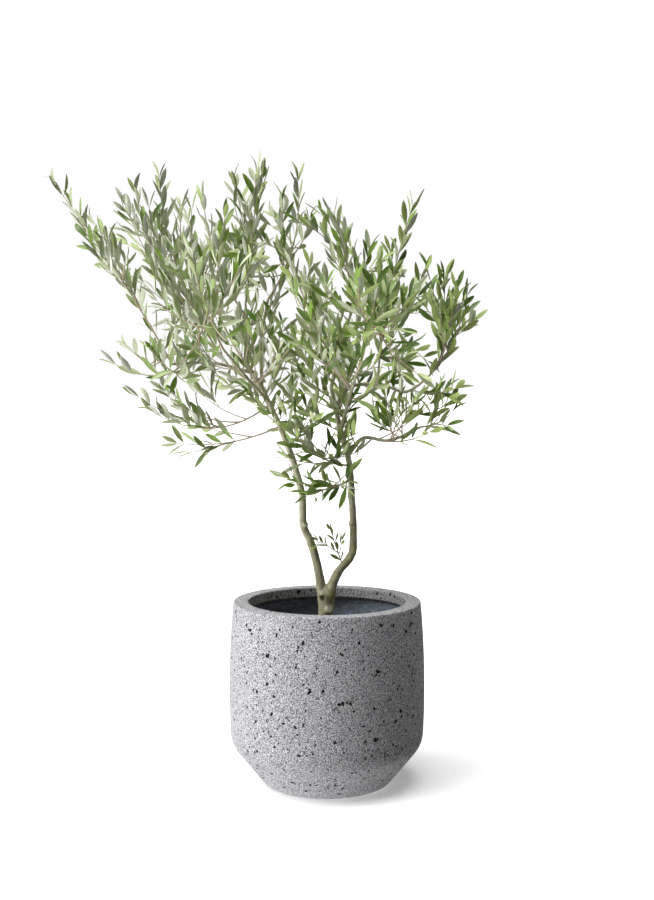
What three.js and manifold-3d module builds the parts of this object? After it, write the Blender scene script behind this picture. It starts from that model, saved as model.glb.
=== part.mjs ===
// A young olive tree in a round stone planter. Millimetres, +Z up, the front towards -Y.
// The origin is the middle of the planter's flat underside.
import * as THREE from 'three';
import { mergeVertices } from 'three/addons/utils/BufferGeometryUtils.js';
import Module from 'manifold-3d';

const wasm = await Module();
wasm.setup();

// ---- sizes ----------------------------------------------------------------------------------

const GAP = 0.3; // clearance between neighbouring pieces
const WELD = 1e-4; // corners nearer than this are one corner

const PLANTER = {
  height: 393,
  footRadius: 137, // where the slanted foot would meet the ground, before it is rounded
  footRounding: 17,
  shoulderHeight: 88, // where the slanted foot meets the barrel
  shoulderRounding: 65,
  bellyRadius: 213.7,
  bellyHeight: 212,
  rimRadius: 205.5,
  rimRounding: 2.5,
  lipRadius: 172.5, // the opening
  lipDepth: 21, // the thick lip's own height
  lipSlope: 9, // the height over which the lip's underside runs back to the wall
  wall: 13,
  floor: 20,
  barrelRings: [150, 212, 300], // heights
  segments: 40,
};

const SOIL_LEVEL = 313; // 80 below the rim

const TRUNK = {
  foot: [-5, 0],
  fork: [-2, 0],
  top: 427, // the fork
  flareRadius: 29,
  flareHeight: 34,
  waistRadius: 17.5,
  forkRadius: 21,
  forkFrom: 0.7, // it widens to the fork beyond this share of its height
  sides: 12,
  rings: 8,
};

const STEM_FOOT = TRUNK.top - 6; // the stems start inside the trunk and are cut off at its top

// Stems and boughs. Each starts inside the limb that carries it, `at` a share of that limb's
// length, and runs through its own points. foot and tip are its radii.
const LIMBS = {
  stem_left: {
    start: [-13, 0, STEM_FOOT],
    through: [[-21, -3, 470], [-35, -6, 520], [-51, -8, 557], [-54, -12, 620], [-74, -16, 700],
      [-116, -20, 805], [-146, -24, 865], [-177, -28, 915]],
    foot: 10.2,
    tip: 5,
  },
  stem_right: {
    start: [9, 0, STEM_FOOT],
    through: [[25, 3, 455], [54, 5, 492], [58, 8, 545], [55, 10, 612], [49, 14, 695],
      [31, 18, 762], [16, 22, 825], [9, 26, 862]],
    foot: 10.2,
    tip: 5,
  },
  bough_left_level: {
    on: 'stem_left',
    at: 0.95,
    through: [[-245, -45, 913], [-333, -60, 911]],
    foot: 4.4,
    tip: 3.2,
  },
  bough_left_up: {
    on: 'stem_left',
    at: 1,
    through: [[-171, -20, 965], [-180, 8, 1045]],
    foot: 4.4,
    tip: 3.2,
  },
  bough_centre_up: {
    on: 'stem_left',
    at: 0.87,
    through: [[-145, -6, 965], [-130, 5, 1055]],
    foot: 4.4,
    tip: 3.2,
  },
  bough_back_left: {
    on: 'stem_left',
    at: 0.74,
    through: [[-175, 80, 895], [-225, 145, 975]],
    foot: 4.6,
    tip: 3.2,
  },
  bough_front_left: {
    on: 'stem_left',
    at: 0.81,
    through: [[-180, -100, 893], [-215, -160, 940]],
    foot: 4.4,
    tip: 3.2,
  },
  bough_right_up: {
    on: 'stem_right',
    at: 1,
    through: [[33, 30, 955], [70, 40, 1085]],
    foot: 4.6,
    tip: 3.2,
  },
  bough_right_high: {
    on: 'stem_right',
    at: 0.9,
    through: [[52, 14, 862], [120, -5, 866], [172, -14, 851], [200, -20, 866]],
    foot: 4.8,
    tip: 3.2,
  },
  bough_right_low: {
    on: 'stem_right',
    at: 0.66,
    through: [[80, 5, 749], [135, -20, 745], [203, -35, 775]],
    foot: 5,
    tip: 3.2,
  },
  bough_back_right: {
    on: 'stem_right',
    at: 0.86,
    through: [[58, 95, 900], [100, 155, 980]],
    foot: 4.6,
    tip: 3.2,
  },
  bough_front_right: {
    on: 'stem_right',
    at: 0.79,
    through: [[52, -80, 855], [75, -145, 930]],
    foot: 4.6,
    tip: 3.2,
  },
};
const LIMB_SIDES = 8;
const LIMB_RING_EVERY = 62;
const LEAST_LIMB_RINGS = 3;

// Masses of foliage. Each has one stem, which starts on a limb and runs to the first reach; its
// other shoots fork from that stem and run to the other reaches. A reach is where a shoot's last
// leaf begins: [x, y, z, bow], with bow how far the shoot's middle stands above a straight line.
const MASSES = {
  foliage_far_left: {
    on: 'bough_left_level',
    at: 1,
    reaches: [[-562, -70, 1272, 8], [-505, -20, 1215, 5], [-425, -110, 1125, 10]],
  },
  foliage_left_low: {
    on: 'bough_left_level',
    at: 0.72,
    reaches: [[-445, -105, 908, -25], [-365, -150, 940, -5], [-425, -50, 942, 0]],
  },
  foliage_left_tall: {
    on: 'bough_left_level',
    at: 0.3,
    reaches: [[-375, 40, 1325, -36], [-455, 70, 1270, -20], [-405, -10, 1215, -10], [-335, 100, 1270, 0]],
  },
  foliage_left_sweep: {
    on: 'stem_left',
    at: 0.8,
    reaches: [[-370, -60, 805, -42], [-330, -115, 838, -15], [-350, -25, 850, -10]],
  },
  foliage_left_foot: {
    on: 'stem_left',
    at: 0.7,
    reaches: [[-325, -10, 708, -16], [-280, 60, 750, 0], [-285, -45, 692, 0]],
  },
  foliage_left_inner: {
    on: 'bough_left_up',
    at: 0.75,
    reaches: [[-265, -60, 1255, -20], [-310, -95, 1100, -8], [-330, -20, 1160, -10], [-215, -120, 1215, 0]],
  },
  foliage_top_left: {
    on: 'bough_left_up',
    at: 1,
    reaches: [[-155, -30, 1325, -10], [-205, 40, 1315, 5], [-145, 60, 1330, 0], [-240, 90, 1195, 0]],
  },
  foliage_top_centre: {
    on: 'bough_centre_up',
    at: 1,
    reaches: [[-65, 20, 1315, -25], [-95, -60, 1260, 0], [-40, 70, 1235, -10], [-125, 120, 1255, 0]],
  },
  foliage_top_right: {
    on: 'bough_right_up',
    at: 0.8,
    reaches: [[15, -30, 1235, 10], [-10, 40, 1245, 15], [-55, -80, 1210, 20], [40, 90, 1225, 0]],
  },
  foliage_right_crown: {
    on: 'bough_right_up',
    at: 1,
    reaches: [[95, 40, 1165, 0], [115, -30, 1130, 0], [150, 105, 1125, 0]],
  },
  foliage_right_tall: {
    on: 'bough_right_high',
    at: 0.55,
    reaches: [[190, 30, 1262, 14], [210, -60, 1110, -10], [165, 90, 1110, 0], [100, -110, 1045, 0]],
  },
  foliage_right_fan: {
    on: 'bough_right_high',
    at: 1,
    reaches: [[298, -20, 1030, -18], [278, -70, 1070, -10], [262, 30, 1105, -10], [228, 80, 1130, 0]],
  },
  foliage_right_low: {
    on: 'bough_right_low',
    at: 1,
    reaches: [[268, -45, 805, -8], [258, 20, 855, 0], [255, -85, 780, 0]],
  },
  foliage_right_under: {
    on: 'bough_right_low',
    at: 0.5,
    reaches: [[215, -85, 742, -10], [125, -130, 815, 0], [170, 90, 825, -10]],
  },
  foliage_middle_hang: {
    on: 'stem_right',
    at: 0.545,
    reaches: [[-12, -60, 658, -10], [15, -25, 640, 0], [-40, -95, 632, 0]],
  },
  foliage_middle_cross: {
    on: 'stem_right',
    at: 0.61,
    reaches: [[-72, -75, 762, -15], [-35, -50, 718, 0]],
  },
  foliage_heart_right: {
    on: 'stem_right',
    at: 0.94,
    reaches: [[-55, -100, 880, 0], [5, -150, 965, 0], [-70, 60, 975, 0]],
  },
  foliage_heart_left: {
    on: 'stem_left',
    at: 0.9,
    reaches: [[-80, -125, 940, 0], [-235, 110, 865, -10], [-100, 65, 1000, 0]],
  },
  foliage_back_left: {
    on: 'bough_back_left',
    at: 1,
    reaches: [[-330, 210, 1255, -10], [-420, 190, 1160, -10], [-205, 260, 1235, 0],
      [-380, 230, 975, -10], [-260, 300, 1005, -10]],
  },
  foliage_back_middle: {
    on: 'bough_back_right',
    at: 0.7,
    reaches: [[-75, 225, 1110, 0], [-50, 290, 985, 0], [-110, 170, 1180, 0]],
  },
  foliage_back_right: {
    on: 'bough_back_right',
    at: 1,
    reaches: [[150, 195, 1180, -10], [220, 210, 1065, -10], [50, 250, 1215, 0],
      [235, 200, 925, -10], [110, 310, 1030, -10]],
  },
  foliage_front_left: {
    on: 'bough_front_left',
    at: 1,
    reaches: [[-270, -230, 1120, -10], [-345, -190, 1035, -10], [-175, -260, 1095, 0],
      [-305, -235, 895, -10], [-195, -300, 950, -10]],
  },
  foliage_front_middle: {
    on: 'bough_front_right',
    at: 0.55,
    reaches: [[-60, -235, 1040, 0], [-30, -290, 930, -10], [-85, -170, 1130, 0]],
  },
  foliage_front_right: {
    on: 'bough_front_right',
    at: 1,
    reaches: [[105, -215, 1105, -10], [185, -190, 1045, -10], [20, -250, 1105, 0],
      [180, -220, 890, -10], [60, -310, 945, -10]],
  },
  foliage_fork_shoot: {
    on: 'stem_right',
    at: 0.13,
    reaches: [[8, -8, 540, 0], [-20, -22, 522, 0]],
    leaf: 0.42,
  },
};

// The rule that all shoots follow. Angles are in degrees.
const RULE = {
  forkFirst: 0.12, // side shoots leave the stem beyond this share of it
  forkSpread: 0.5, // and are spread evenly over this share
  shootFoot: 3.2, // radius where a mass's stem starts
  sideFoot: 2.7, // radius where its other shoots start
  shootTip: 1.7,
  shootSides: 3,
  ringEvery: 110,
  leastRings: 2,
  twigStart: 60, // from the shoot's foot to its first twig
  twigEvery: 140,
  twigEnd: 0.86, // no twig beyond this share of the shoot
  twigLength: 62,
  twigShare: 0.22, // added to it, of the shoot's length beyond the twig
  twigSpread: 0.2, // its length varies by this share either way
  twigAngle: 48,
  turn: 137.5, // round the shoot from twig to twig
  rise: 0.3, // how strongly twigs and leaves turn to the light
  leafStart: 0.3, // leaves stand on a shoot beyond this share of it
  shootFirstLeaf: 40,
  leafEvery: 75,
  twigFirstLeaf: 30,
  twigLeafEvery: 55,
  lastLeaf: 14, // from the last pair to the tip
  leafAngle: 46,
  angleSpread: 0.2,
  leafRoll: 110,
  leafLength: 72,
  leafSpread: 0.15,
  everySpread: 0.15, // the spacing of twigs and leaves varies by this share either way
  tipLeaf: 56,
  leafSink: 0.6, // a leaf's root is sunk by this share of the twig's radius
  leafWidth: 0.27, // as a share of the length
  leafThickness: 0.035,
  widest: 0.42, // where along the leaf
  leafStations: [0.22, 0.42, 0.61, 0.8, 0.99], // where a leaf's clearance is tested
  leastRadius: 0.5, // of the balls that it is tested with
  leafClearance: 2.5, // kept from the mass's own shoots and twigs
  twigTests: 5, // places along a twig where its clearance is tested
  spaceRings: 8, // lengths of the line that a shoot's own space is measured from
  margin: 3, // kept from a neighbour's space and from the limbs
};
const FIRST_SEED = 101;

const FINISH = {
  planter: { color: 0x8b8c8e, roughness: 0.85, metalness: 0 },
  soil: { color: 0x3a2f27, roughness: 0.95, metalness: 0 },
  bark: { color: 0x85806a, roughness: 0.85, metalness: 0 },
  foliage: { color: 0x76886a, roughness: 0.6, metalness: 0 },
};

// ---- shape helpers --------------------------------------------------------------------------

const UP = new THREE.Vector3(0, 0, 1);
const degrees = THREE.MathUtils.degToRad;
const vector = (xyz) => new THREE.Vector3(xyz[0], xyz[1], xyz[2]);

// A repeatable stream of numbers from 0 to 1.
function seeded(seed) {
  let state = seed >>> 0;
  return () => {
    state = (state + 0x6d2b79f5) >>> 0;
    let mixed = Math.imul(state ^ (state >>> 15), 1 | state);
    mixed = (mixed + Math.imul(mixed ^ (mixed >>> 7), 61 | mixed)) ^ mixed;
    return ((mixed ^ (mixed >>> 14)) >>> 0) / 4294967296;
  };
}

// A closed geometry as a solid that can be joined and cut.
function solidOf(geometry) {
  const bare = geometry.clone();
  bare.deleteAttribute('normal');
  bare.deleteAttribute('uv');
  const merged = mergeVertices(bare, WELD);
  const corners = [...merged.index.array];
  const kept = [];
  for (let i = 0; i < corners.length; i += 3) {
    const [a, b, c] = corners.slice(i, i + 3);
    if (a !== b && b !== c && c !== a) kept.push(a, b, c);
  }
  return new wasm.Manifold(new wasm.Mesh({
    numProp: 3,
    vertProperties: new Float32Array(merged.attributes.position.array),
    triVerts: new Uint32Array(kept),
  }));
}

function geometryOf(solid) {
  const mesh = solid.getMesh();
  const geometry = new THREE.BufferGeometry();
  geometry.setAttribute('position', new THREE.BufferAttribute(mesh.vertProperties, 3));
  geometry.setIndex(new THREE.BufferAttribute(mesh.triVerts, 1));
  geometry.computeVertexNormals();
  return geometry;
}

// The solids as one, joined two by two.
function joined(solids) {
  let row = solids;
  while (row.length > 1) {
    const next = [];
    for (let i = 0; i < row.length; i += 2) {
      const pair = row[i + 1];
      next.push(pair ? row[i].add(pair) : row[i]);
    }
    row = next;
  }
  return row[0];
}

// A tapering round bar along a curve: a cylinder whose rings are moved onto the curve.
// grow makes it that much larger all over, for cutting a clearance.
function bar(curve, radiusAt, sides, rings, grow = 0) {
  const frames = curve.computeFrenetFrames(rings, false);
  const shape = new THREE.CylinderGeometry(1, 1, 1, sides, rings);
  const place = shape.attributes.position;
  const point = new THREE.Vector3();
  for (let i = 0; i < place.count; i++) {
    const ring = Math.round((place.getY(i) + 0.5) * rings);
    const radius = radiusAt(ring / rings) + grow;
    curve.getPointAt(ring / rings, point);
    if (ring === 0) point.addScaledVector(frames.tangents[0], -grow);
    if (ring === rings) point.addScaledVector(frames.tangents[rings], grow);
    point.addScaledVector(frames.normals[ring], place.getX(i) * radius);
    point.addScaledVector(frames.binormals[ring], -place.getZ(i) * radius);
    place.setXYZ(i, point.x, point.y, point.z);
  }
  return solidOf(shape);
}

// A block between two heights, wider than the trunk with both stems, for a flat cut.
function block(from, to) {
  const width = 4 * TRUNK.flareRadius;
  const shape = new THREE.BoxGeometry(width, width, to - from);
  return solidOf(shape.translate(0, 0, (from + to) / 2));
}

// A solid of revolution about the Z axis from [radius, height] pairs.
function turned(profile, segments) {
  const shape = new THREE.LatheGeometry(profile.map(([r, z]) => new THREE.Vector2(r, z)), segments);
  return solidOf(shape.rotateX(Math.PI / 2));
}

// A rounded corner between the way in from `before` and the way out to `after`.
function rounded(before, corner, after, radius, steps) {
  const at = new THREE.Vector2(...corner);
  const back = new THREE.Vector2(...before).sub(at).normalize();
  const on = new THREE.Vector2(...after).sub(at).normalize();
  const half = back.angleTo(on) / 2;
  const reach = radius / Math.tan(half);
  const first = at.clone().addScaledVector(back, reach);
  const last = at.clone().addScaledVector(on, reach);
  const curve = new THREE.QuadraticBezierCurve(first, at, last);
  return curve.getPoints(steps).map((p) => [p.x, p.y]);
}

// ---- planter and soil -----------------------------------------------------------------------

// The barrel's outer radius at a height: a shallow arc, widest at the belly.
function barrel(height) {
  const { bellyRadius, bellyHeight, rimRadius, height: top } = PLANTER;
  const fall = (bellyRadius - rimRadius) / (top - bellyHeight) ** 2;
  return bellyRadius - fall * (height - bellyHeight) ** 2;
}

// The inside below the lip, from the top down to the floor, `clear` of it all round. It has a
// corner at the soil's level, so that the soil fits it there.
function inside(clear = 0) {
  const p = PLANTER;
  const shoulder = p.shoulderHeight + p.wall / 2;
  const wallHeights = [SOIL_LEVEL, p.bellyHeight, shoulder];
  return [
    ...wallHeights.map((z) => [barrel(z) - p.wall - clear, z]),
    [p.footRadius - clear, p.floor + clear],
    [0, p.floor + clear],
  ];
}

function planter() {
  const p = PLANTER;
  const onBarrel = (z) => [barrel(z), z];
  const foot = [p.footRadius, 0];
  const shoulder = onBarrel(p.shoulderHeight);
  const rim = [p.rimRadius, p.height];
  const lip = [p.lipRadius, p.height];
  const lipUnder = [p.lipRadius, p.height - p.lipDepth];
  const underLip = p.height - p.lipDepth - p.lipSlope;
  const rings = p.barrelRings.map(onBarrel);
  return turned([
    [0, 0],
    ...rounded([0, 0], foot, shoulder, p.footRounding, 2),
    ...rounded(foot, shoulder, rings.at(0), p.shoulderRounding, 3),
    ...rings,
    ...rounded(rings.at(-1), rim, lip, p.rimRounding, 1),
    ...rounded(rim, lip, lipUnder, p.rimRounding, 1),
    lipUnder,
    [barrel(underLip) - p.wall, underLip],
    ...inside(),
  ], p.segments);
}

// The soil fills the planter up to its level.
function soil() {
  return turned([...inside(GAP).reverse(), [0, SOIL_LEVEL]], PLANTER.segments);
}

// ---- trunk, stems and boughs ----------------------------------------------------------------

// The trunk's bar runs on past both ends, where it is cut flat.
function trunk() {
  const foot = SOIL_LEVEL + GAP;
  const past = TRUNK.flareHeight / 4;
  const curve = new THREE.LineCurve3(
    new THREE.Vector3(...TRUNK.foot, foot - past),
    new THREE.Vector3(...TRUNK.fork, TRUNK.top + past),
  );
  const length = curve.getLength();
  const radiusAt = (t) => {
    const height = t * length - past;
    const low = 1 - Math.min(height / TRUNK.flareHeight, 1);
    const flare = (TRUNK.flareRadius - TRUNK.waistRadius) * low ** 2;
    const fork = (TRUNK.forkRadius - TRUNK.waistRadius) * THREE.MathUtils.smoothstep(t, TRUNK.forkFrom, 1);
    return TRUNK.waistRadius + flare + fork;
  };
  return bar(curve, radiusAt, TRUNK.sides, TRUNK.rings).intersect(block(foot, TRUNK.top));
}

// Works out each limb's curve from the limb that carries it.
function limbShapes() {
  const shapes = {};
  for (const [name, limb] of Object.entries(LIMBS)) {
    const start = limb.start ? vector(limb.start) : shapes[limb.on].curve.getPointAt(limb.at);
    const curve = new THREE.CatmullRomCurve3([start, ...limb.through.map(vector)], false, 'centripetal');
    const rings = Math.max(LEAST_LIMB_RINGS, Math.round(curve.getLength() / LIMB_RING_EVERY));
    const radiusAt = (t) => THREE.MathUtils.lerp(limb.foot, limb.tip, t);
    shapes[name] = { curve, radiusAt, rings, on: limb.on };
  }
  return shapes;
}

const limbSolid = (shape, grow = 0) => bar(shape.curve, shape.radiusAt, LIMB_SIDES, shape.rings, grow);

// ---- foliage --------------------------------------------------------------------------------

// A shoot from foot to tip whose middle stands bow above the straight line.
function shootCurve(foot, tip, bow) {
  const along = tip.clone().sub(foot).normalize();
  const aside = UP.clone().addScaledVector(along, -UP.dot(along)).normalize();
  const middle = foot.clone().lerp(tip, 0.5).addScaledVector(aside, 2 * bow);
  return new THREE.QuadraticBezierCurve3(foot, middle, tip);
}

// How many lengths a shoot's bar has. A twig is straight.
function ringsOf(curve) {
  if (curve.isLineCurve3) return 1;
  return Math.max(RULE.leastRings, Math.round(curve.getLength() / RULE.ringEvery));
}

// A shoot or twig as the straight lengths that its bar is made of, so that leaves sit on it.
class Carrier {
  constructor(curve, firstLeaf, leafEvery) {
    this.points = curve.getSpacedPoints(ringsOf(curve));
    this.length = curve.getLength();
    this.firstLeaf = firstLeaf;
    this.leafEvery = leafEvery;
  }

  // The point at a distance from the foot, and the direction there.
  at(distance) {
    const place = Math.min(distance / this.length, 1) * (this.points.length - 1);
    const index = Math.min(Math.floor(place), this.points.length - 2);
    const [from, to] = this.points.slice(index, index + 2);
    return { root: from.clone().lerp(to, place - index), tangent: to.clone().sub(from).normalize() };
  }
}

// Every mass's stem and side shoots, before any twig or leaf.
function massShoots(limbs) {
  const shoots = {};
  for (const [name, mass] of Object.entries(MASSES)) {
    const foot = limbs[mass.on].curve.getPointAt(mass.at);
    const [first, ...others] = mass.reaches;
    const stem = shootCurve(foot, vector(first), first[3]);
    const carrier = new Carrier(stem);
    shoots[name] = [stem];
    others.forEach((reach, i) => {
      const from = RULE.forkFirst + RULE.forkSpread * (i + 1) / mass.reaches.length;
      const { root } = carrier.at(from * carrier.length);
      shoots[name].push(shootCurve(root, vector(reach), reach[3]));
    });
  }
  return shoots;
}

function distanceToLine(point, line) {
  let least = Infinity;
  const segment = new THREE.Line3();
  const nearest = new THREE.Vector3();
  for (let i = 1; i < line.length; i++) {
    segment.set(line[i - 1], line[i]);
    segment.closestPointToPoint(point, true, nearest);
    least = Math.min(least, nearest.distanceTo(point));
  }
  return least;
}

// Tells whether a ball at a point stays in a mass's own space: nearer to its own shoots than to
// any other mass's, and clear of every limb.
function spaceRule(shoots, limbs) {
  const lines = {};
  for (const [name, curves] of Object.entries(shoots)) {
    lines[name] = curves.map((curve) => curve.getSpacedPoints(RULE.spaceRings));
  }
  const bars = Object.values(limbs).map((limb) => ({
    line: limb.curve.getSpacedPoints(limb.rings),
    radius: limb.radiusAt(0),
  }));
  return (name, point, radius) => {
    if (bars.some((b) => distanceToLine(point, b.line) < b.radius + radius + RULE.margin)) return false;
    const own = Math.min(...lines[name].map((line) => distanceToLine(point, line)));
    return Object.entries(lines).every(([other, theirs]) => other === name
      || theirs.every((line) => distanceToLine(point, line) - own >= 2 * (radius + RULE.margin)));
  };
}

// A leaf: a thin blade from its root to its tip, flat beneath, with a ridge above, widest nearer
// the root. It has four faces above and two beneath.
function leafSolid(leaf) {
  const across = new THREE.Vector3().crossVectors(leaf.along, leaf.face).normalize();
  const face = new THREE.Vector3().crossVectors(across, leaf.along);
  const at = (share, side, lift) => leaf.root.clone()
    .addScaledVector(leaf.along, share * leaf.length)
    .addScaledVector(across, side * leaf.length * RULE.leafWidth / 2)
    .addScaledVector(face, lift * leaf.length * RULE.leafThickness);
  const root = at(0, 0, 0);
  const tip = at(1, 0, 0);
  const left = at(RULE.widest, 1, 0);
  const right = at(RULE.widest, -1, 0);
  const ridge = at(RULE.widest, 0, 1);
  const faces = [
    [root, left, ridge], [left, tip, ridge], [tip, right, ridge], [right, root, ridge],
    [root, right, left], [left, right, tip],
  ];
  return solidOf(new THREE.BufferGeometry().setFromPoints(faces.flat()));
}

// The direction that leaves a shoot at an angle, `around` degrees round it, turned to the light.
function leaving(tangent, around, angle, rise) {
  const side = new THREE.Vector3().crossVectors(tangent, UP).normalize();
  side.applyAxisAngle(tangent, degrees(around));
  return tangent.clone().multiplyScalar(Math.cos(degrees(angle)))
    .addScaledVector(side, Math.sin(degrees(angle))).addScaledVector(UP, rise).normalize();
}

// One mass of foliage as a solid: its shoots, their twigs and the leaves on both.
function growMass(name, mass, shoots, limbs, inOwnSpace, seed) {
  const chance = seeded(seed);
  const scale = mass.leaf ?? 1;
  const thin = Math.sqrt(scale);
  const twigRadius = RULE.shootTip * thin;
  const solids = [];
  const carriers = [];
  const leafBalls = [];
  const uneven = (size, spread) => size * (1 + spread * (2 * chance() - 1));

  // The side twigs of one shoot, each turned round it from the last.
  const addTwigs = (shoot) => {
    let around = chance() * 360;
    let at = RULE.twigStart * scale;
    while (at < shoot.length * RULE.twigEnd) {
      const { root, tangent } = shoot.at(at);
      const along = leaving(tangent, around, RULE.twigAngle, RULE.rise);
      const even = RULE.twigLength * scale + RULE.twigShare * (shoot.length - at);
      const reach = uneven(even, RULE.twigSpread);
      const twig = new THREE.LineCurve3(root, root.clone().addScaledVector(along, reach));
      const tests = twig.getSpacedPoints(RULE.twigTests).slice(1);
      const clear = tests.every((point) => inOwnSpace(name, point, twigRadius));
      around += RULE.turn;
      at += uneven(RULE.twigEvery * scale, RULE.everySpread);
      if (clear) {
        solids.push(bar(twig, () => twigRadius, RULE.shootSides, ringsOf(twig)));
        carriers.push(new Carrier(twig, RULE.twigFirstLeaf * scale, RULE.twigLeafEvery * scale));
      }
    }
  };

  // A leaf is left off where it would leave the mass's space or touch a limb, a shoot or a leaf.
  const addLeaf = (root, along, length) => {
    const face = UP.clone().addScaledVector(along, -UP.dot(along)).normalize();
    face.applyAxisAngle(along, degrees((chance() - 0.5) * RULE.leafRoll));
    const balls = RULE.leafStations.map((share) => {
      const fullness = Math.min(share / RULE.widest, (1 - share) / (1 - RULE.widest));
      const radius = Math.max(fullness * length * RULE.leafWidth / 2, RULE.leastRadius);
      return { radius, point: root.clone().addScaledVector(along, share * length) };
    });
    const outer = balls.slice(1);
    const clearOfLines = (ball) => lines.every((line) => (
      distanceToLine(ball.point, line) > ball.radius + RULE.leafClearance));
    const clearOfLeaves = (ball) => leafBalls.every((other) => (
      other.point.distanceTo(ball.point) > ball.radius + other.radius));
    const fits = balls.every((ball) => inOwnSpace(name, ball.point, ball.radius))
      && outer.every(clearOfLines) && outer.every(clearOfLeaves);
    if (fits) {
      leafBalls.push(...outer);
      const sunk = root.clone().addScaledVector(along, -twigRadius * RULE.leafSink);
      solids.push(leafSolid({ root: sunk, along, face, length }));
    }
  };

  // Opposite leaves, each pair a quarter turn from the last, and one at the tip.
  const addLeaves = (carrier) => {
    let around = chance() * 180;
    const { root: tip, tangent: onward } = carrier.at(carrier.length);
    addLeaf(tip, onward, RULE.tipLeaf * scale);
    let at = carrier.firstLeaf;
    while (at < carrier.length - RULE.lastLeaf * scale) {
      const { root, tangent } = carrier.at(at);
      for (const side of [around, around + 180]) {
        const along = leaving(tangent, side, uneven(RULE.leafAngle, RULE.angleSpread), RULE.rise);
        addLeaf(root, along, uneven(RULE.leafLength * scale, RULE.leafSpread));
      }
      around += 90;
      at += uneven(carrier.leafEvery, RULE.everySpread);
    }
  };

  shoots.forEach((curve, index) => {
    const foot = (index ? RULE.sideFoot : RULE.shootFoot) * thin;
    const radiusAt = (t) => THREE.MathUtils.lerp(foot, twigRadius, t);
    solids.push(bar(curve, radiusAt, RULE.shootSides, ringsOf(curve)));
    const firstLeaf = Math.max(RULE.leafStart * curve.getLength(), RULE.shootFirstLeaf * scale);
    const shoot = new Carrier(curve, firstLeaf, RULE.leafEvery * scale);
    carriers.push(shoot);
    addTwigs(shoot);
  });
  const lines = carriers.map((carrier) => carrier.points);
  carriers.forEach(addLeaves);

  const whole = joined(solids).subtract(limbSolid(limbs[mass.on], GAP));
  // What the cut leaves beyond the limb is a scrap.
  const [largest] = whole.decompose().sort((a, b) => b.volume() - a.volume());
  return largest;
}

// ---- the whole plant ------------------------------------------------------------------------

const plant = new THREE.Group();

function addPiece(name, solid, finish) {
  const mesh = new THREE.Mesh(geometryOf(solid), new THREE.MeshStandardMaterial(finish));
  mesh.name = name;
  plant.add(mesh);
}

addPiece('planter', planter(), FINISH.planter);
addPiece('soil', soil(), FINISH.soil);
addPiece('trunk', trunk(), FINISH.bark);

const limbs = limbShapes();
for (const [name, shape] of Object.entries(limbs)) {
  const solid = limbSolid(shape);
  const carrier = shape.on ? limbSolid(limbs[shape.on], GAP) : block(0, TRUNK.top + GAP);
  const seated = solid.subtract(carrier);
  addPiece(name, seated, FINISH.bark);
}

const shoots = massShoots(limbs);
const inOwnSpace = spaceRule(shoots, limbs);
Object.entries(MASSES).forEach(([name, mass], index) => {
  const solid = growMass(name, mass, shoots[name], limbs, inOwnSpace, FIRST_SEED + index);
  addPiece(name, solid, FINISH.foliage);
});

export default plant;
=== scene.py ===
"""A young olive tree in a round stone planter: its finish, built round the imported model.

Metres, +Z up, the front towards -Y. The origin is the middle of the planter's flat underside.
"""

import math
import random
from bisect import bisect
from collections import namedtuple
from itertools import pairwise

import bpy
import numpy as np
from bpy.props import FloatProperty, FloatVectorProperty, IntProperty, PointerProperty
from mathutils import Matrix, Vector


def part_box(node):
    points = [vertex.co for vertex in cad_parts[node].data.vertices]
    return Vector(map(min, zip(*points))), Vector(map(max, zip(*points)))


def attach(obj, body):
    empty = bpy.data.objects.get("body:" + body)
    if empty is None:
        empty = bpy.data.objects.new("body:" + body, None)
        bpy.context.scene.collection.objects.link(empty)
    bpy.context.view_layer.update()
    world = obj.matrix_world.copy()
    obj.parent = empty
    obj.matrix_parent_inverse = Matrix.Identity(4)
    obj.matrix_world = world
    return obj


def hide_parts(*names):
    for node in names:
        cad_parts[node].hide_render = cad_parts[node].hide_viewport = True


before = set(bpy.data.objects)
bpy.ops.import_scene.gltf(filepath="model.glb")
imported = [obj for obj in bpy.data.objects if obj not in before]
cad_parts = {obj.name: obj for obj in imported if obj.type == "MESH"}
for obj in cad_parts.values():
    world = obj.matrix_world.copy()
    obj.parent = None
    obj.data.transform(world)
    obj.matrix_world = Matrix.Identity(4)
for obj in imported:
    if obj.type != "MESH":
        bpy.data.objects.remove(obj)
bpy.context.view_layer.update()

bl_info = {
    "name": "Potted Olive Tree",
    "version": (1, 0, 0),
    "blender": (4, 5, 0),
    "location": "3D View > Sidebar > Olive",
    "description": "Builds a young olive tree in a stone planter, from its soil to its leaves",
    "category": "Add Mesh",
}

UP = Vector((0, 0, 1))
SOIL_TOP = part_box("soil")[1].z
PLANTER_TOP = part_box("planter")[1].z
BELLY_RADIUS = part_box("planter")[1].x

# ---- the tree's plan ----

FORK_HEIGHT = 0.427
WOUND = (-0.011, -0.014, 0.401)  # the dark middle of a healed wound on the trunk
TRUNK_LINE = ((-0.005, 0, SOIL_TOP - 0.012), (-0.0035, 0, 0.37), (-0.002, 0, FORK_HEIGHT))

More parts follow.
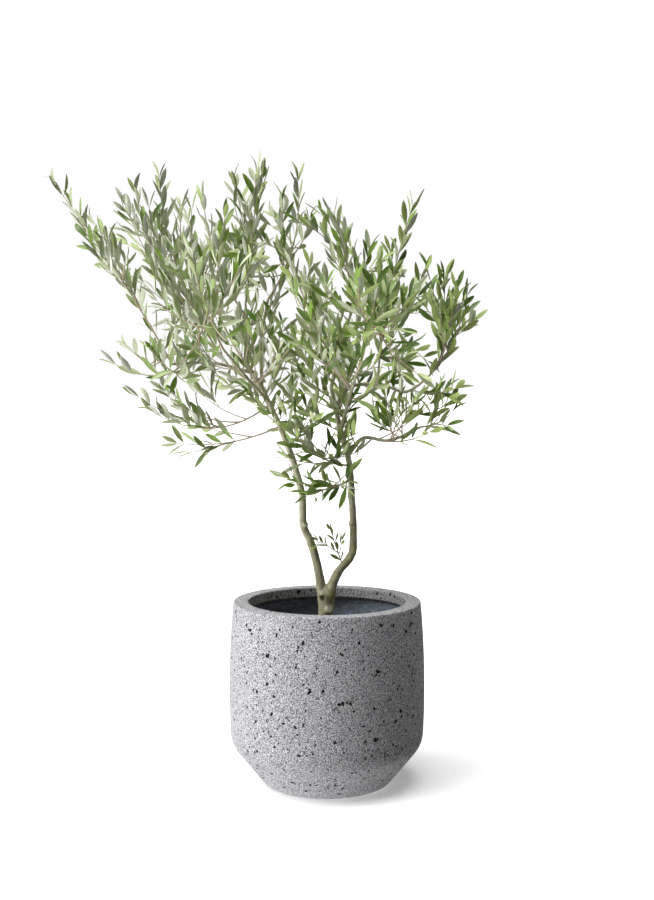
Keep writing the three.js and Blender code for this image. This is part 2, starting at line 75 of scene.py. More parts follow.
# Stems and boughs. Each runs through its points, a stem from the first of them and a bough from
# the limb that it is on, at a share of that limb's length. foot and tip are its radii.
Limb = namedtuple("Limb", "on at through foot tip", defaults=[0.0044, 0.0032])
LIMBS = {
    "stem_left": Limb(None, 0, [
        (-0.013, 0, 0.421), (-0.021, -0.003, 0.470), (-0.035, -0.006, 0.520),
        (-0.051, -0.008, 0.557), (-0.054, -0.012, 0.620), (-0.074, -0.016, 0.700),
        (-0.116, -0.020, 0.805), (-0.146, -0.024, 0.865), (-0.177, -0.028, 0.915),
    ], 0.0102, 0.005),
    "stem_right": Limb(None, 0, [
        (0.009, 0, 0.421), (0.025, 0.003, 0.455), (0.054, 0.005, 0.492), (0.058, 0.008, 0.545),
        (0.055, 0.010, 0.612), (0.049, 0.014, 0.695), (0.031, 0.018, 0.762),
        (0.016, 0.022, 0.825), (0.009, 0.026, 0.862),
    ], 0.0102, 0.005),
    "bough_left_level": Limb("stem_left", 0.95, [(-0.245, -0.045, 0.913), (-0.333, -0.060, 0.911)]),
    "bough_left_up": Limb("stem_left", 1, [(-0.171, -0.020, 0.965), (-0.180, 0.008, 1.045)]),
    "bough_centre_up": Limb("stem_left", 0.87, [(-0.145, -0.006, 0.965), (-0.130, 0.005, 1.055)]),
    "bough_back_left": Limb(
        "stem_left", 0.74, [(-0.175, 0.080, 0.895), (-0.225, 0.145, 0.975)], 0.0046,
    ),
    "bough_front_left": Limb("stem_left", 0.81, [(-0.180, -0.100, 0.893), (-0.215, -0.160, 0.940)]),
    "bough_right_up": Limb(
        "stem_right", 1, [(0.033, 0.030, 0.955), (0.070, 0.040, 1.085)], 0.0046,
    ),
    "bough_right_high": Limb("stem_right", 0.9, [
        (0.052, 0.014, 0.862), (0.120, -0.005, 0.866), (0.172, -0.014, 0.851),
        (0.200, -0.020, 0.866),
    ], 0.0048),
    "bough_right_low": Limb("stem_right", 0.66, [
        (0.080, 0.005, 0.749), (0.135, -0.020, 0.745), (0.203, -0.035, 0.775),
    ], 0.005),
    "bough_back_right": Limb(
        "stem_right", 0.86, [(0.058, 0.095, 0.900), (0.100, 0.155, 0.980)], 0.0046,
    ),
    "bough_front_right": Limb(
        "stem_right", 0.79, [(0.052, -0.080, 0.855), (0.075, -0.145, 0.930)], 0.0046,
    ),
}

# Masses of foliage. Each has one stem, which starts on a limb, at a share of its length, and runs
# to the first reach; its other shoots fork from that stem and run to the other reaches. A reach is
# where a shoot's last leaf begins: (x, y, z, bow), with bow how far the shoot's middle stands above
# a straight line. rise says how strongly the leaves turn up to the light, finer how many thin
# shoots end between the reaches, and fill where more of these end. bare is the share of a shoot
# without leaves, twigs the share with side twigs, and leaf the leaves' size beside full-grown ones.
Mass = namedtuple(
    "Mass", "on at rise reaches fill finer bare twigs leaf",
    defaults=[None, 0, 0, (), (), None, 0.16, 0.72, 1],
)
MASSES = {
    "foliage_far_left": Mass(
        "bough_left_level", 1, 0.7,
        [(-0.578, -0.07, 1.288, 0.008), (-0.505, -0.02, 1.215, 0.005), (-0.425, -0.11, 1.125, 0.01)],
        [(-0.535, -0.05, 1.225), (-0.42, -0.06, 1.1), (-0.475, -0.04, 1.17)],
        twigs=0.5,
    ),
    "foliage_left_low": Mass(
        "bough_left_level", 0.72, 0.9,
        [(-0.445, -0.105, 0.908, -0.025), (-0.365, -0.15, 0.94, -0.005), (-0.425, -0.05, 0.942, 0)],
        [(-0.29, -0.1, 0.972), (-0.3, -0.09, 0.872), (-0.272, -0.02, 0.968), (-0.33, -0.06, 0.985),
         (-0.275, 0.03, 0.905)],
        finer=0, twigs=0.3,
    ),
    "foliage_left_tall": Mass(
        "bough_left_level", 0.3, 0.8,
        [(-0.375, 0.04, 1.325, -0.036), (-0.455, 0.07, 1.27, -0.02), (-0.405, -0.01, 1.215, -0.01),
         (-0.335, 0.1, 1.27, 0)],
        [(-0.425, 0.03, 1.29), (-0.44, 0, 1.245), (-0.35, -0.06, 1.13), (-0.35, 0, 1.035),
         (-0.405, 0.02, 1.09)],
        finer=4,
    ),
    "foliage_left_sweep": Mass(
        "stem_left", 0.8, 0.8,
        [(-0.37, -0.06, 0.805, -0.042), (-0.33, -0.115, 0.838, -0.015), (-0.35, -0.025, 0.85, -0.01)],
        [(-0.305, 0.03, 0.872), (-0.4, -0.07, 0.838)],
        finer=1, bare=0.5, twigs=0.5,
    ),
    "foliage_left_foot": Mass(
        "stem_left", 0.7, 0.3,
        [(-0.325, -0.01, 0.738, -0.016), (-0.28, 0.06, 0.77, 0), (-0.29, -0.045, 0.72, 0)],
        finer=0, bare=0.45, twigs=0.2,
    ),
    "foliage_left_inner": Mass(
        "bough_left_up", 0.75, 0.8,
        [(-0.265, -0.06, 1.255, -0.02), (-0.31, -0.095, 1.1, -0.008), (-0.33, -0.02, 1.16, -0.01),
         (-0.215, -0.12, 1.215, 0)],
    ),
    "foliage_top_left": Mass(
        "bough_left_up", 1, 0.8,
        [(-0.155, -0.03, 1.325, -0.01), (-0.205, 0.04, 1.315, 0.005), (-0.145, 0.06, 1.33, 0),
         (-0.24, 0.09, 1.195, 0)],
        [(-0.165, -0.05, 1.142), (-0.205, 0.06, 1.125), (-0.172, -0.085, 1.085),
         (-0.19, -0.04, 1.165), (-0.15, 0.02, 1.12)],
        finer=4,
    ),
    "foliage_top_centre": Mass(
        "bough_centre_up", 1, 0.7,
        [(-0.065, 0.02, 1.315, -0.025), (-0.095, -0.06, 1.26, 0), (-0.04, 0.07, 1.235, -0.01),
         (-0.125, 0.12, 1.255, 0)],
        [(-0.12, -0.065, 1.12), (-0.15, 0.09, 1.12), (-0.137, -0.03, 1.175), (-0.11, 0.06, 1.15)],
        finer=3,
    ),
    "foliage_top_right": Mass(
        "bough_right_up", 0.8, 0.6,
        [(0.015, -0.03, 1.235, 0.01), (-0.01, 0.04, 1.245, 0.015), (-0.055, -0.08, 1.21, 0.02),
         (0.04, 0.09, 1.225, 0)],
        finer=1,
    ),
    "foliage_right_crown": Mass(
        "bough_right_up", 1, 0.6,
        [(0.095, 0.04, 1.165, 0), (0.115, -0.03, 1.13, 0), (0.15, 0.105, 1.125, 0)],
    ),
    "foliage_right_tall": Mass(
        "bough_right_high", 0.55, 0.6,
        [(0.19, 0.03, 1.262, 0.014), (0.21, -0.06, 1.11, -0.01), (0.165, 0.09, 1.11, 0),
         (0.1, -0.11, 1.045, 0)],
        [(0.178, -0.05, 0.915), (0.172, 0.045, 0.905), (0.14, -0.08, 0.9)],
        finer=4, twigs=0.4,
    ),
    "foliage_right_fan": Mass(
        "bough_right_high", 1, 0.6,
        [(0.298, -0.02, 1.03, -0.018), (0.278, -0.07, 1.07, -0.01), (0.262, 0.03, 1.105, -0.01),
         (0.228, 0.08, 1.13, 0)],
        finer=6,
    ),
    "foliage_right_low": Mass(
        "bough_right_low", 1, 0.4,
        [(0.268, -0.045, 0.805, -0.008), (0.258, 0.02, 0.855, 0), (0.255, -0.085, 0.78, 0)],
    ),
    "foliage_right_under": Mass(
        "bough_right_low", 0.5, 0.3,
        [(0.215, -0.085, 0.765, -0.01), (0.125, -0.13, 0.815, 0), (0.17, 0.09, 0.825, -0.01)],
        [(0.105, -0.05, 0.8), (0.112, 0.04, 0.792), (0.13, -0.02, 0.835)],
        bare=0.4,
    ),
    "foliage_middle_hang": Mass(
        "stem_right", 0.545, 0,
        [(-0.012, -0.06, 0.658, -0.01), (0.015, -0.025, 0.64, 0), (-0.04, -0.095, 0.632, 0)],
        [(0.052, -0.05, 0.672), (0.045, -0.045, 0.64), (0.06, -0.03, 0.7), (-0.085, -0.08, 0.668)],
        finer=0,
    ),
    "foliage_middle_cross": Mass(
        "stem_right", 0.61, 0.1,
        [(-0.072, -0.075, 0.762, -0.015), (-0.035, -0.05, 0.718, 0)],
        [(0.058, -0.06, 0.752), (0.035, 0.05, 0.765), (0.07, -0.02, 0.722), (-0.085, -0.07, 0.712),
         (-0.092, -0.06, 0.808), (-0.08, 0.05, 0.83)],
    ),
    "foliage_heart_right": Mass(
        "stem_right", 0.94, 0.5,
        [(-0.055, -0.1, 0.88, 0), (0.005, -0.15, 0.965, 0), (-0.07, 0.06, 0.975, 0)],
    ),
    "foliage_heart_left": Mass(
        "stem_left", 0.9, 0.5,
        [(-0.08, -0.125, 0.94, 0), (-0.235, 0.11, 0.865, -0.01), (-0.1, 0.065, 1, 0)],
        [(-0.15, -0.07, 1.03), (-0.17, 0.06, 1.035)],
    ),
    "foliage_back_left": Mass(
        "bough_back_left", 1, 0.7,
        [(-0.33, 0.21, 1.255, -0.01), (-0.42, 0.19, 1.16, -0.01), (-0.205, 0.26, 1.235, 0),
         (-0.38, 0.23, 0.975, -0.01), (-0.26, 0.3, 1.005, -0.01)],
        [(-0.25, 0.13, 1.19), (-0.33, 0.13, 1.09), (-0.195, 0.14, 1.09)],
    ),
    "foliage_back_middle": Mass(
        "bough_back_right", 0.7, 0.7,
        [(-0.075, 0.225, 1.11, 0), (-0.05, 0.29, 0.985, 0), (-0.11, 0.17, 1.18, 0)],
    ),
    "foliage_back_right": Mass(
        "bough_back_right", 1, 0.6,
        [(0.15, 0.195, 1.18, -0.01), (0.22, 0.21, 1.065, -0.01), (0.05, 0.25, 1.215, 0),
         (0.235, 0.2, 0.925, -0.01), (0.11, 0.31, 1.03, -0.01)],
        [(0.08, 0.13, 1.12), (0.14, 0.13, 1.03), (0.04, 0.12, 1.04)],
    ),
    "foliage_front_left": Mass(
        "bough_front_left", 1, 0.7,
        [(-0.27, -0.23, 1.12, -0.01), (-0.345, -0.19, 1.035, -0.01), (-0.175, -0.26, 1.095, 0),
         (-0.305, -0.235, 0.895, -0.01), (-0.195, -0.3, 0.95, -0.01)],
        [(-0.225, -0.14, 1.15), (-0.305, -0.135, 1.11), (-0.16, -0.16, 1.11)],
    ),
    "foliage_front_middle": Mass(
        "bough_front_right", 0.55, 0.6,
        [(-0.06, -0.235, 1.04, 0), (-0.03, -0.29, 0.93, -0.01), (-0.085, -0.17, 1.13, 0)],
    ),
    "foliage_front_right": Mass(
        "bough_front_right", 1, 0.5,
        [(0.105, -0.215, 1.105, -0.01), (0.185, -0.19, 1.045, -0.01), (0.02, -0.25, 1.105, 0),
         (0.18, -0.22, 0.89, -0.01), (0.06, -0.31, 0.945, -0.01)],
        [(0.06, -0.14, 1.11), (0.125, -0.12, 1.05), (0, -0.15, 1.06)],
    ),
    "foliage_fork_shoot": Mass(
        "stem_right", 0.115, 0.3,
        [(0.008, -0.008, 0.548, 0), (-0.018, -0.022, 0.528, 0)],
        finer=0, leaf=0.46,
    ),
}

# Radii of shoots: a mass's stem, its side shoots and its finer shoots, and of twigs.
SHOOT_FOOT = 0.0028
SIDE_FOOT = 0.0022
FINE_FOOT = 0.0016
SHOOT_TIP = 0.0009
TWIG_FOOT = 0.0012
TWIG_TIP = 0.0007

FORK_FIRST = 0.12  # side shoots leave a mass's stem beyond this share of it
FORK_SPREAD = 0.5  # and over this share
FINE_SAG = 0.07  # how far a finer shoot's middle sags, as a share of its length
TWIG_SAG = 0.05
SHORT_SAG = 0.008  # metres
SHORT_ANGLE = 60  # degrees between a short shoot and its limb
TWIG_ANGLE = 44
TWIG_RISE = 0.35
TWIG_BARE = 0.014
SPIRAL = 137.5  # degrees round the shoot from twig to twig
CROWN_FOOT = 0.73  # short leafy shoots grow on the limbs above this height
CROWN_RISE = 0.25  # and come to their full growth this much higher
LIMB_BARE = 0.03
LIMB_LEAFY = 0.92  # the share of a limb that has short shoots
LOST_LEAVES = 0.1  # the share of leaves that have dropped
TIP_ANGLES = (14, 26)  # degrees between a shoot's line and the two leaves at its tip
YOUNG_LEAF = 0.74  # a leaf's size at a shoot's tip, as a share of its full size
GROWTH_LENGTH = 0.16  # the length of shoot over which leaves would grow by a full size
LEAF_MIDDLE = 0.55  # as a share of its length, near where it is widest
LIGHT = 0.45  # how strongly a leaf's upper side turns to the sky

# A spray's tone is 0 for silver and 1 for deep green. It rises by so much per metre to the right
# of the crown's middle, again to the right of the trunk, and down from the crown's heart. This rise
# is painted shade: darker on the side away from the lights on the left, and low inside the crown.
# Only the random spread is the leaves' own tone.
MIDDLE_TONE = 0.45
LEAST_TONE = 0.1
CROWN_MIDDLE = -0.09
PAINTED_SHADE_ACROSS = 1.1
PAINTED_SHADE_RIGHT = 0.8
HEART_HEIGHT = 0.98
PAINTED_SHADE_DOWN = 1.3

# Openings where the crown lets the light through from front to back: (x, z, radius). Only the
# leading shoots have leaves there.
OPENINGS = [
    # Between the leaning shoot and the crown.
    (-0.49, 1.22, 0.030), (-0.42, 1.22, 0.020), (-0.42, 1.15, 0.024), (-0.36, 1.28, 0.018),
    # Notches between the leading shoots.
    (-0.29, 1.22, 0.036), (-0.30, 1.12, 0.015), (-0.22, 1.28, 0.016), (-0.22, 1.22, 0.018),
    (-0.16, 1.28, 0.022), (-0.09, 1.22, 0.034), (-0.09, 1.15, 0.037), (-0.02, 1.28, 0.028),
    (-0.02, 1.20, 0.034), (0.04, 1.21, 0.040), (0.04, 1.15, 0.036), (0.11, 1.16, 0.041),
    (0.17, 1.16, 0.048), (0.23, 1.17, 0.036), (0.17, 1.09, 0.018), (0.30, 0.95, 0.042),
    # The open lower left, between the long low shoots.
    (-0.42, 0.95, 0.034), (-0.36, 0.89, 0.036), (-0.36, 0.82, 0.026), (-0.29, 0.82, 0.020),
    (-0.22, 0.95, 0.018), (-0.22, 0.89, 0.020), (-0.16, 0.89, 0.030), (-0.22, 0.82, 0.020),
    (-0.22, 0.76, 0.040), (-0.16, 0.76, 0.030), (-0.29, 0.68, 0.036), (-0.22, 0.69, 0.050),
    # Between and beside the stems, under the crown.
    (-0.02, 0.76, 0.018), (-0.02, 0.61, 0.036), (0.17, 0.76, 0.040), (0.24, 0.76, 0.042),
    (0.24, 0.69, 0.040), (0.11, 0.69, 0.044), (0.17, 0.66, 0.050), (0.31, 0.69, 0.050),
]


# ---- lines ----


class Path:
    """A line through many points, with places on it found by their distance from its foot."""

    def __init__(self, points):
        self.points = [Vector(p) for p in points]
        self.marks = [0.0]
        for a, b in pairwise(self.points):
            self.marks.append(self.marks[-1] + (b - a).length)

    @property
    def length(self):
        return self.marks[-1]

    def place(self, distance):
        """The point at a distance from the foot, and the heading there."""
        after = min(max(bisect(self.marks, distance), 1), len(self.marks) - 1)
        a, b = self.points[after - 1], self.points[after]
        share = (distance - self.marks[after - 1]) / (self.marks[after] - self.marks[after - 1])
        return a.lerp(b, share), (b - a).normalized()

    def part(self, share):
        """The point at a share of the line's length, and the heading there."""
        return self.place(self.length * share)

    def spaced(self, lengths):
        """Points that part the line into equal lengths."""
        return [self.place(self.length * i / lengths)[0] for i in range(lengths + 1)]


def smooth_path(through, steps=12):
    """A centripetal curve through points, as the stems and boughs follow."""
    ends = [2 * through[0] - through[1], *through, 2 * through[-1] - through[-2]]
    points = [through[0]]
    for p0, p1, p2, p3 in zip(ends, ends[1:], ends[2:], ends[3:]):
        d0, d1, d2 = (math.sqrt((b - a).length) for a, b in ((p0, p1), (p1, p2), (p2, p3)))
        out = ((p1 - p0) / d0 - (p2 - p0) / (d0 + d1) + (p2 - p1) / d1) * d1
        back = ((p2 - p1) / d1 - (p3 - p1) / (d1 + d2) + (p3 - p2) / d2) * d1
        for i in range(1, steps + 1):
            t = i / steps
            points.append(
                p1 + out * t + (3 * (p2 - p1) - 2 * out - back) * t**2
                + (2 * (p1 - p2) + out + back) * t**3
            )
    return Path(points)


def bowed_path(foot, tip, bow, steps=12):
    """A shoot from foot to tip whose middle stands bow above the straight line."""
    along = (tip - foot).normalized()
    aside = (UP - along * UP.dot(along)).normalized()
    middle = foot.lerp(tip, 0.5) + aside * 2 * bow
    return Path(
        foot.lerp(middle, i / steps).lerp(middle.lerp(tip, i / steps), i / steps)
        for i in range(steps + 1)
    )


def limb_paths():
    """Every stem's and bough's line, each from the limb that carries it."""
    paths = {}
    for name, limb in LIMBS.items():
        through = [Vector(point) for point in limb.through]
        if limb.on:
            through.insert(0, paths[limb.on].part(limb.at)[0])
        paths[name] = smooth_path(through)
    return paths


# ---- growth ----


Leaf = namedtuple("Leaf", "root along face length width tone")
Habit = namedtuple("Habit", "rise scale tone leading")  # how a spray's leaves grow


def leaving(heading, around, angle, rise):
    """The direction that leaves a shoot at an angle, `around` degrees round it, turned up."""
    side = heading.cross(UP).normalized()
    side.rotate(Matrix.Rotation(math.radians(around), 3, heading))
    lean = math.radians(angle)
    return (heading * math.cos(lean) + side * math.sin(lean) + UP * rise).normalized()


class Crown:
    """The crown's wood and leaves, grown from the limbs."""

    def __init__(self, rule):
        self.rule = rule
        self.chance = random.Random(4)
        self.limbs = limb_paths()
        self.wood = []  # (path, foot radius, tip radius, whether it is a twig)
        self.leaves = []
        self.taken = {}  # the middles of limbs and leaves, by cell
        for path in self.limbs.values():
            for point in path.spaced(round(path.length / 0.006)):
                self.take(point)
        for mass in MASSES.values():
            self.grow_mass(mass)
        for path in self.limbs.values():
            self.clothe_limb(path)

    def uneven(self, size, spread):
        """A size made larger or smaller by up to a share of it."""
        return size * self.chance.uniform(1 - spread, 1 + spread)

    def cell(self, point):
        """The box of space that a point is in, by which its neighbours are found."""
        return tuple(math.floor(value / self.rule.leaf_room) for value in point)

    def take(self, point):
        self.taken.setdefault(self.cell(point), []).append(point)

    def in_opening(self, place):
        return any(math.hypot(place.x - x, place.z - z) < radius for x, z, radius in OPENINGS)

    def has_room(self, middle, room):
        """Whether no limb's middle and no other leaf's lies within this room."""
        x, y, z = self.cell(middle)
        near = (
            self.taken.get((x + i, y + j, z + k), ())
            for i in (-1, 0, 1) for j in (-1, 0, 1) for k in (-1, 0, 1)
        )
        return all((middle - other).length > room for group in near for other in group)

    def grow_mass(self, mass):
        """A mass's stem and side shoots to their reaches, and finer shoots between these."""
        foot, _ = self.limbs[mass.on].part(mass.at)
        (*tip, bow), *others = mass.reaches
        shoots = [bowed_path(foot, Vector(tip), bow)]
        for i, (*tip, bow) in enumerate(others):
            root, _ = shoots[0].part(FORK_FIRST + FORK_SPREAD * (i + 1) / len(mass.reaches))
            shoots.append(bowed_path(root, Vector(tip), bow))
        for i, path in enumerate(shoots):
            self.spray(path, SIDE_FOOT if i else SHOOT_FOOT, mass)
        tips = [Vector(tip) for tip in mass.fill]
        for _ in range(self.rule.finer if mass.finer is None else mass.finer):
            first, second = self.chance.sample(mass.reaches, 2)
            edge = Vector(first[:3]).lerp(Vector(second[:3]), self.chance.uniform(0.2, 0.8))
            tip = foot.lerp(edge, self.chance.uniform(0.5, 0.95))
            tips.append(tip + Vector(self.chance.gauss(0, 0.02) for _ in range(3)))
        for tip in tips:
            if not self.in_opening(tip):
                root, _ = self.chance.choice(shoots).part(self.chance.uniform(0.04, 0.4))
                path = bowed_path(root, tip, -FINE_SAG * (tip - root).length)
                self.spray(path, FINE_FOOT, mass)

    def clothe_limb(self, limb):
        """Short leafy shoots round a limb, where it runs inside the crown."""
        around = self.chance.uniform(0, 360)
        at = LIMB_BARE
        while at < limb.length * LIMB_LEAFY:
            root, heading = limb.place(at)
            high = min(max((root.z - CROWN_FOOT) / CROWN_RISE, 0), 1)
            if root.z > CROWN_FOOT:
                along = leaving(heading, around, self.uneven(SHORT_ANGLE, 0.2), 0.3 + 0.3 * high)
                reach = self.rule.short_shoot * (1.25 - 0.5 * high)
                tip = root + along * self.uneven(reach, 0.35)
                if not self.in_opening(tip):
                    path = bowed_path(root, tip, -SHORT_SAG)
                    self.spray(path, FINE_FOOT, Mass(rise=0.1 + 0.5 * high))
            around += SPIRAL
            at += self.uneven(self.rule.short_spacing * (0.6 + 0.6 * high), 0.3)

    def spray(self, shoot, foot, mass):
        """A shoot's wood, its leaves and its side twigs, which are turned round it in a spiral."""
        scale = mass.leaf
        leading = foot > FINE_FOOT
        tip = SHOOT_TIP * math.sqrt(scale)
        foot *= math.sqrt(scale)
        self.wood.append((shoot, foot, tip, False))
        habit = Habit(mass.rise, scale, self.tone(shoot.points[-1]), leading)
        self.add_leaves(shoot, mass.bare * shoot.length, habit)
        habit = habit._replace(leading=False)
        around = self.chance.uniform(0, 360)
        at = self.uneven(self.rule.twig_spacing * 0.8 * scale, 0.4)
        while at < shoot.length * mass.twigs:
            root, heading = shoot.place(at)
            along = leaving(heading, around, self.uneven(TWIG_ANGLE, 0.25), TWIG_RISE)
            reach = self.uneven(0.03 * scale + 0.24 * (shoot.length - at), 0.35)
            end = root + along * reach
            if not self.in_opening(end):
                twig = bowed_path(root, end, -TWIG_SAG * reach, 4)
                here = foot + (tip - foot) * at / shoot.length
                self.wood.append((twig, min(TWIG_FOOT, here), TWIG_TIP, True))
                self.add_leaves(twig, TWIG_BARE, habit)
            around += SPIRAL
            at += self.uneven(self.rule.twig_spacing * scale, 0.3)

    def tone(self, place):
        """The tone of a spray that ends at a place: a random spread of the leaves' own tone, with
        painted shade that deepens it to the right and low down.
        """
        tone = MIDDLE_TONE + PAINTED_SHADE_ACROSS * (place.x - CROWN_MIDDLE) + self.chance.gauss(0, 0.12)
        right = max(0, place.x) * PAINTED_SHADE_RIGHT
        return max(tone, LEAST_TONE) + right + max(0, HEART_HEIGHT - place.z) * PAINTED_SHADE_DOWN

    def add_leaves(self, carrier, first, habit):
        """Opposite leaves, each pair a quarter turn from the last, and two at the tip."""
        scale = habit.scale
        around = self.chance.uniform(0, 180)
        tip, onward = carrier.place(carrier.length)
        for side, angle in zip((around, around + 180), TIP_ANGLES):
            self.add_leaf(tip, leaving(onward, side, angle, 0), onward, 0.85 * scale, habit)
        at = first
        while at < carrier.length - 0.008 * scale:
            root, heading = carrier.place(at)
            size = min(1, YOUNG_LEAF + (carrier.length - at) / (GROWTH_LENGTH * scale)) * scale
            for side in (around, around + 180):
                angle = self.uneven(self.rule.leaf_angle, 0.35)
                along = leaving(heading, side, angle, habit.rise * self.uneven(1, 0.5))
                if self.chance.random() > LOST_LEAVES:
                    self.add_leaf(root, along, heading, size, habit)
            around += self.uneven(90, 0.25)
            at += self.uneven(self.rule.leaf_spacing * math.sqrt(scale), 0.3)

    def add_leaf(self, root, along, heading, size, habit):
        """A leaf, unless it has no room. Its upper side roughly faces the tip and the light."""
        length = self.uneven(self.rule.leaf_length * size, 0.16)
        middle = root + along * length * LEAF_MIDDLE
        if self.in_opening(middle) and not habit.leading:
            return
        if not self.has_room(middle, self.rule.leaf_room * min(size, 1)):
            return
        self.take(middle)
        light = heading + UP * LIGHT
        face = (light - along * light.dot(along)).normalized()
        roll = math.radians(self.chance.gauss(0, self.rule.leaf_roll))
        face.rotate(Matrix.Rotation(roll, 3, along))
        width = self.uneven(self.rule.leaf_width * size**0.7, 0.2)
        self.leaves.append(Leaf(root, along, face, length, width, habit.tone))


# ---- finishes ----


class Value:
    """A socket that holds a number, so that shader maths reads as an expression."""

    def __init__(self, nodes, socket):
        self.nodes = nodes
        self.socket = socket

    def math(self, operation, *values):
        node = self.nodes.node("ShaderNodeMath", dict(enumerate(values)), operation=operation)
        return Value(self.nodes, node.outputs[0])

    def __add__(self, other):
        return self.math("ADD", self, other)

    def __sub__(self, other):
        return self.math("SUBTRACT", self, other)

    def __rsub__(self, other):
        return self.math("SUBTRACT", other, self)

    def __mul__(self, other):
        return self.math("MULTIPLY", self, other)

    __radd__ = __add__
    __rmul__ = __mul__

    def between(self, low, high):
        """0 below low, 1 above high, and even between; low may be the larger one."""
        sockets = {"Value": self, "From Min": low, "From Max": high}
        return Value(self.nodes, self.nodes.node("ShaderNodeMapRange", sockets).outputs["Result"])


class Nodes:
    """A node tree whose nodes are added in code."""

    def __init__(self, tree):
        self.tree = tree

    def feed(self, node, sockets):
        """Links a node's sockets or sets their values."""
        for name, value in sockets.items():
            if isinstance(value, Value):
                value = value.socket
            if isinstance(value, bpy.types.NodeSocket):
                self.tree.links.new(value, node.inputs[name])
            else:
                node.inputs[name].default_value = value

    def node(self, kind, sockets=None, **settings):
        """Adds a node: its settings first, then its sockets' values or links."""
        node = self.tree.nodes.new(kind)
        for name, value in settings.items():
            setattr(node, name, value)
        self.feed(node, sockets or {})
        return node


class Finish(Nodes):
    """A material, with the patterns that its colour, roughness and relief are made of."""

    def __init__(self, name, colour, roughness, **sockets):
        self.material = bpy.data.materials.new(name)
        self.material.use_nodes = True
        self.material.diffuse_color = (*colour, 1)
        super().__init__(self.material.node_tree)
        self.shader = self.tree.nodes["Principled BSDF"]
        self.paint(Base_Color=(*colour, 1), Roughness=roughness, **sockets)

    def place(self, rise=1):
        """Places on the piece, in metres, with heights multiplied by rise."""
        where = self.node("ShaderNodeTexCoord").outputs["Object"]
        sockets = {"Vector": where, "Scale": (1, 1, rise)}
        return self.node("ShaderNodeMapping", sockets).outputs["Vector"]

    def noise(self, size, detail=2, rise=1):
        """Soft noise whose lumps are about size across, and taller where rise is under 1."""
        sockets = {"Vector": self.place(rise), "Scale": 1 / size, "Detail": detail}
        return Value(self, self.node("ShaderNodeTexNoise", sockets).outputs["Fac"])

    def distance(self, point):
        """The distance of a place from a point."""
        sockets = {0: self.place(), 1: point}
        node = self.node("ShaderNodeVectorMath", sockets, operation="DISTANCE")
        return Value(self, node.outputs["Value"])

    def cells(self, size):
        """The distance to scattered points, in their spacing, which is about size."""
        sockets = {"Vector": self.place(), "Scale": 1 / size}
        return Value(self, self.node("ShaderNodeTexVoronoi", sockets).outputs["Distance"])

    def axis(self, name):
        """A place's coordinate: Z is its height, and X grows to the right."""
        node = self.node("ShaderNodeSeparateXYZ", {"Vector": self.place()})
        return Value(self, node.outputs[name])

    def mix(self, amount, first, second):
        """first where amount is 0, and second where it is 1; each a link or a plain colour."""
        colours = [c if isinstance(c, bpy.types.NodeSocket) else (*c, 1) for c in (first, second)]
        sockets = {0: amount, 6: colours[0], 7: colours[1]}
        return self.node("ShaderNodeMix", sockets, data_type="RGBA").outputs[2]

    def paint(self, bump=None, **sockets):
        """Feeds the shader; bump is a relief's height and its depth in metres."""
        if bump:
            relief = self.node("ShaderNodeBump", {"Height": bump[0], "Distance": bump[1]})
            sockets["Normal"] = relief.outputs["Normal"]
        self.feed(self.shader, {name.replace("_", " "): value for name, value in sockets.items()})
        return self.material


def shaded(colour, share):
    """A colour made darker or lighter."""
    return tuple(c * share for c in colour)


def stone_finish(p):
    """Cast stone: fine dark and pale grain, with a few cream and rust-brown grains.

    Its dark specks are painted shade for the stone's smallest holes, which are not cut.
    """
    finish = Finish("planter stone", p.stone, 0.9)
    grain = finish.noise(0.0021)
    soft = finish.noise(0.05, 3)
    colour = finish.mix(grain.between(0.42, 0.6), p.dark_grain, p.pale_grain)
    colour = finish.mix(soft.between(0.3, 0.7) * 0.15, colour, p.stone)
    # Painted shade: dark specks stand in for the shade inside the stone's smallest holes.
    painted_hole_specks = finish.cells(0.0042).between(0.26, 0.16) * finish.noise(0.008).between(0.5, 0.56)
    colour = finish.mix(painted_hole_specks, colour, p.hole_shade)
    rust = finish.cells(0.009).between(0.11, 0.05) * finish.noise(0.02).between(0.56, 0.6)
    colour = finish.mix(rust, colour, p.warm_grain)
    relief = grain + finish.noise(0.0009, 1) * 0.4
    return finish.paint(Base_Color=colour, Roughness=0.82 + grain * 0.16, bump=(relief, 0.0012))


def pit_shade_finish(p):
    """The inside of the small pits in the stone, painted near-black: painted shade in the pits."""
    finish = Finish("planter pits", p.pit, 0.95)
    return finish.paint(Base_Color=finish.mix(finish.noise(0.002), p.pit, shaded(p.pit, 2.5)))


def lining_finish(p):
    """The slate-blue coat inside the planter, brushed on thick and slightly glossy.

    Its changing colour is painted highlight and shade: lighter on the crests of the brush waves,
    darker in their troughs.
    """
    finish = Finish("planter lining", p.lining, 0.4)
    strokes_and_highlights = finish.noise(0.012, 3, 2.5)
    # Painted highlight and shade: the lining is lighter on the brush waves' crests and darker in
    # their troughs.
    colour = finish.mix(strokes_and_highlights.between(0.3, 0.7), shaded(p.lining, 0.7), shaded(p.lining, 1.5))
    return finish.paint(Base_Color=colour, Roughness=0.26 + strokes_and_highlights * 0.25, bump=(strokes_and_highlights, 0.003))


def soil_finish(p):
    """Dark potting soil."""
    finish = Finish("potting soil", p.soil, 0.95)
    lumps = finish.noise(0.004, 4)
    colour = finish.mix(lumps.between(0.3, 0.75), shaded(p.soil, 0.5), p.soil)
    return finish.paint(Base_Color=colour, bump=(lumps, 0.002))


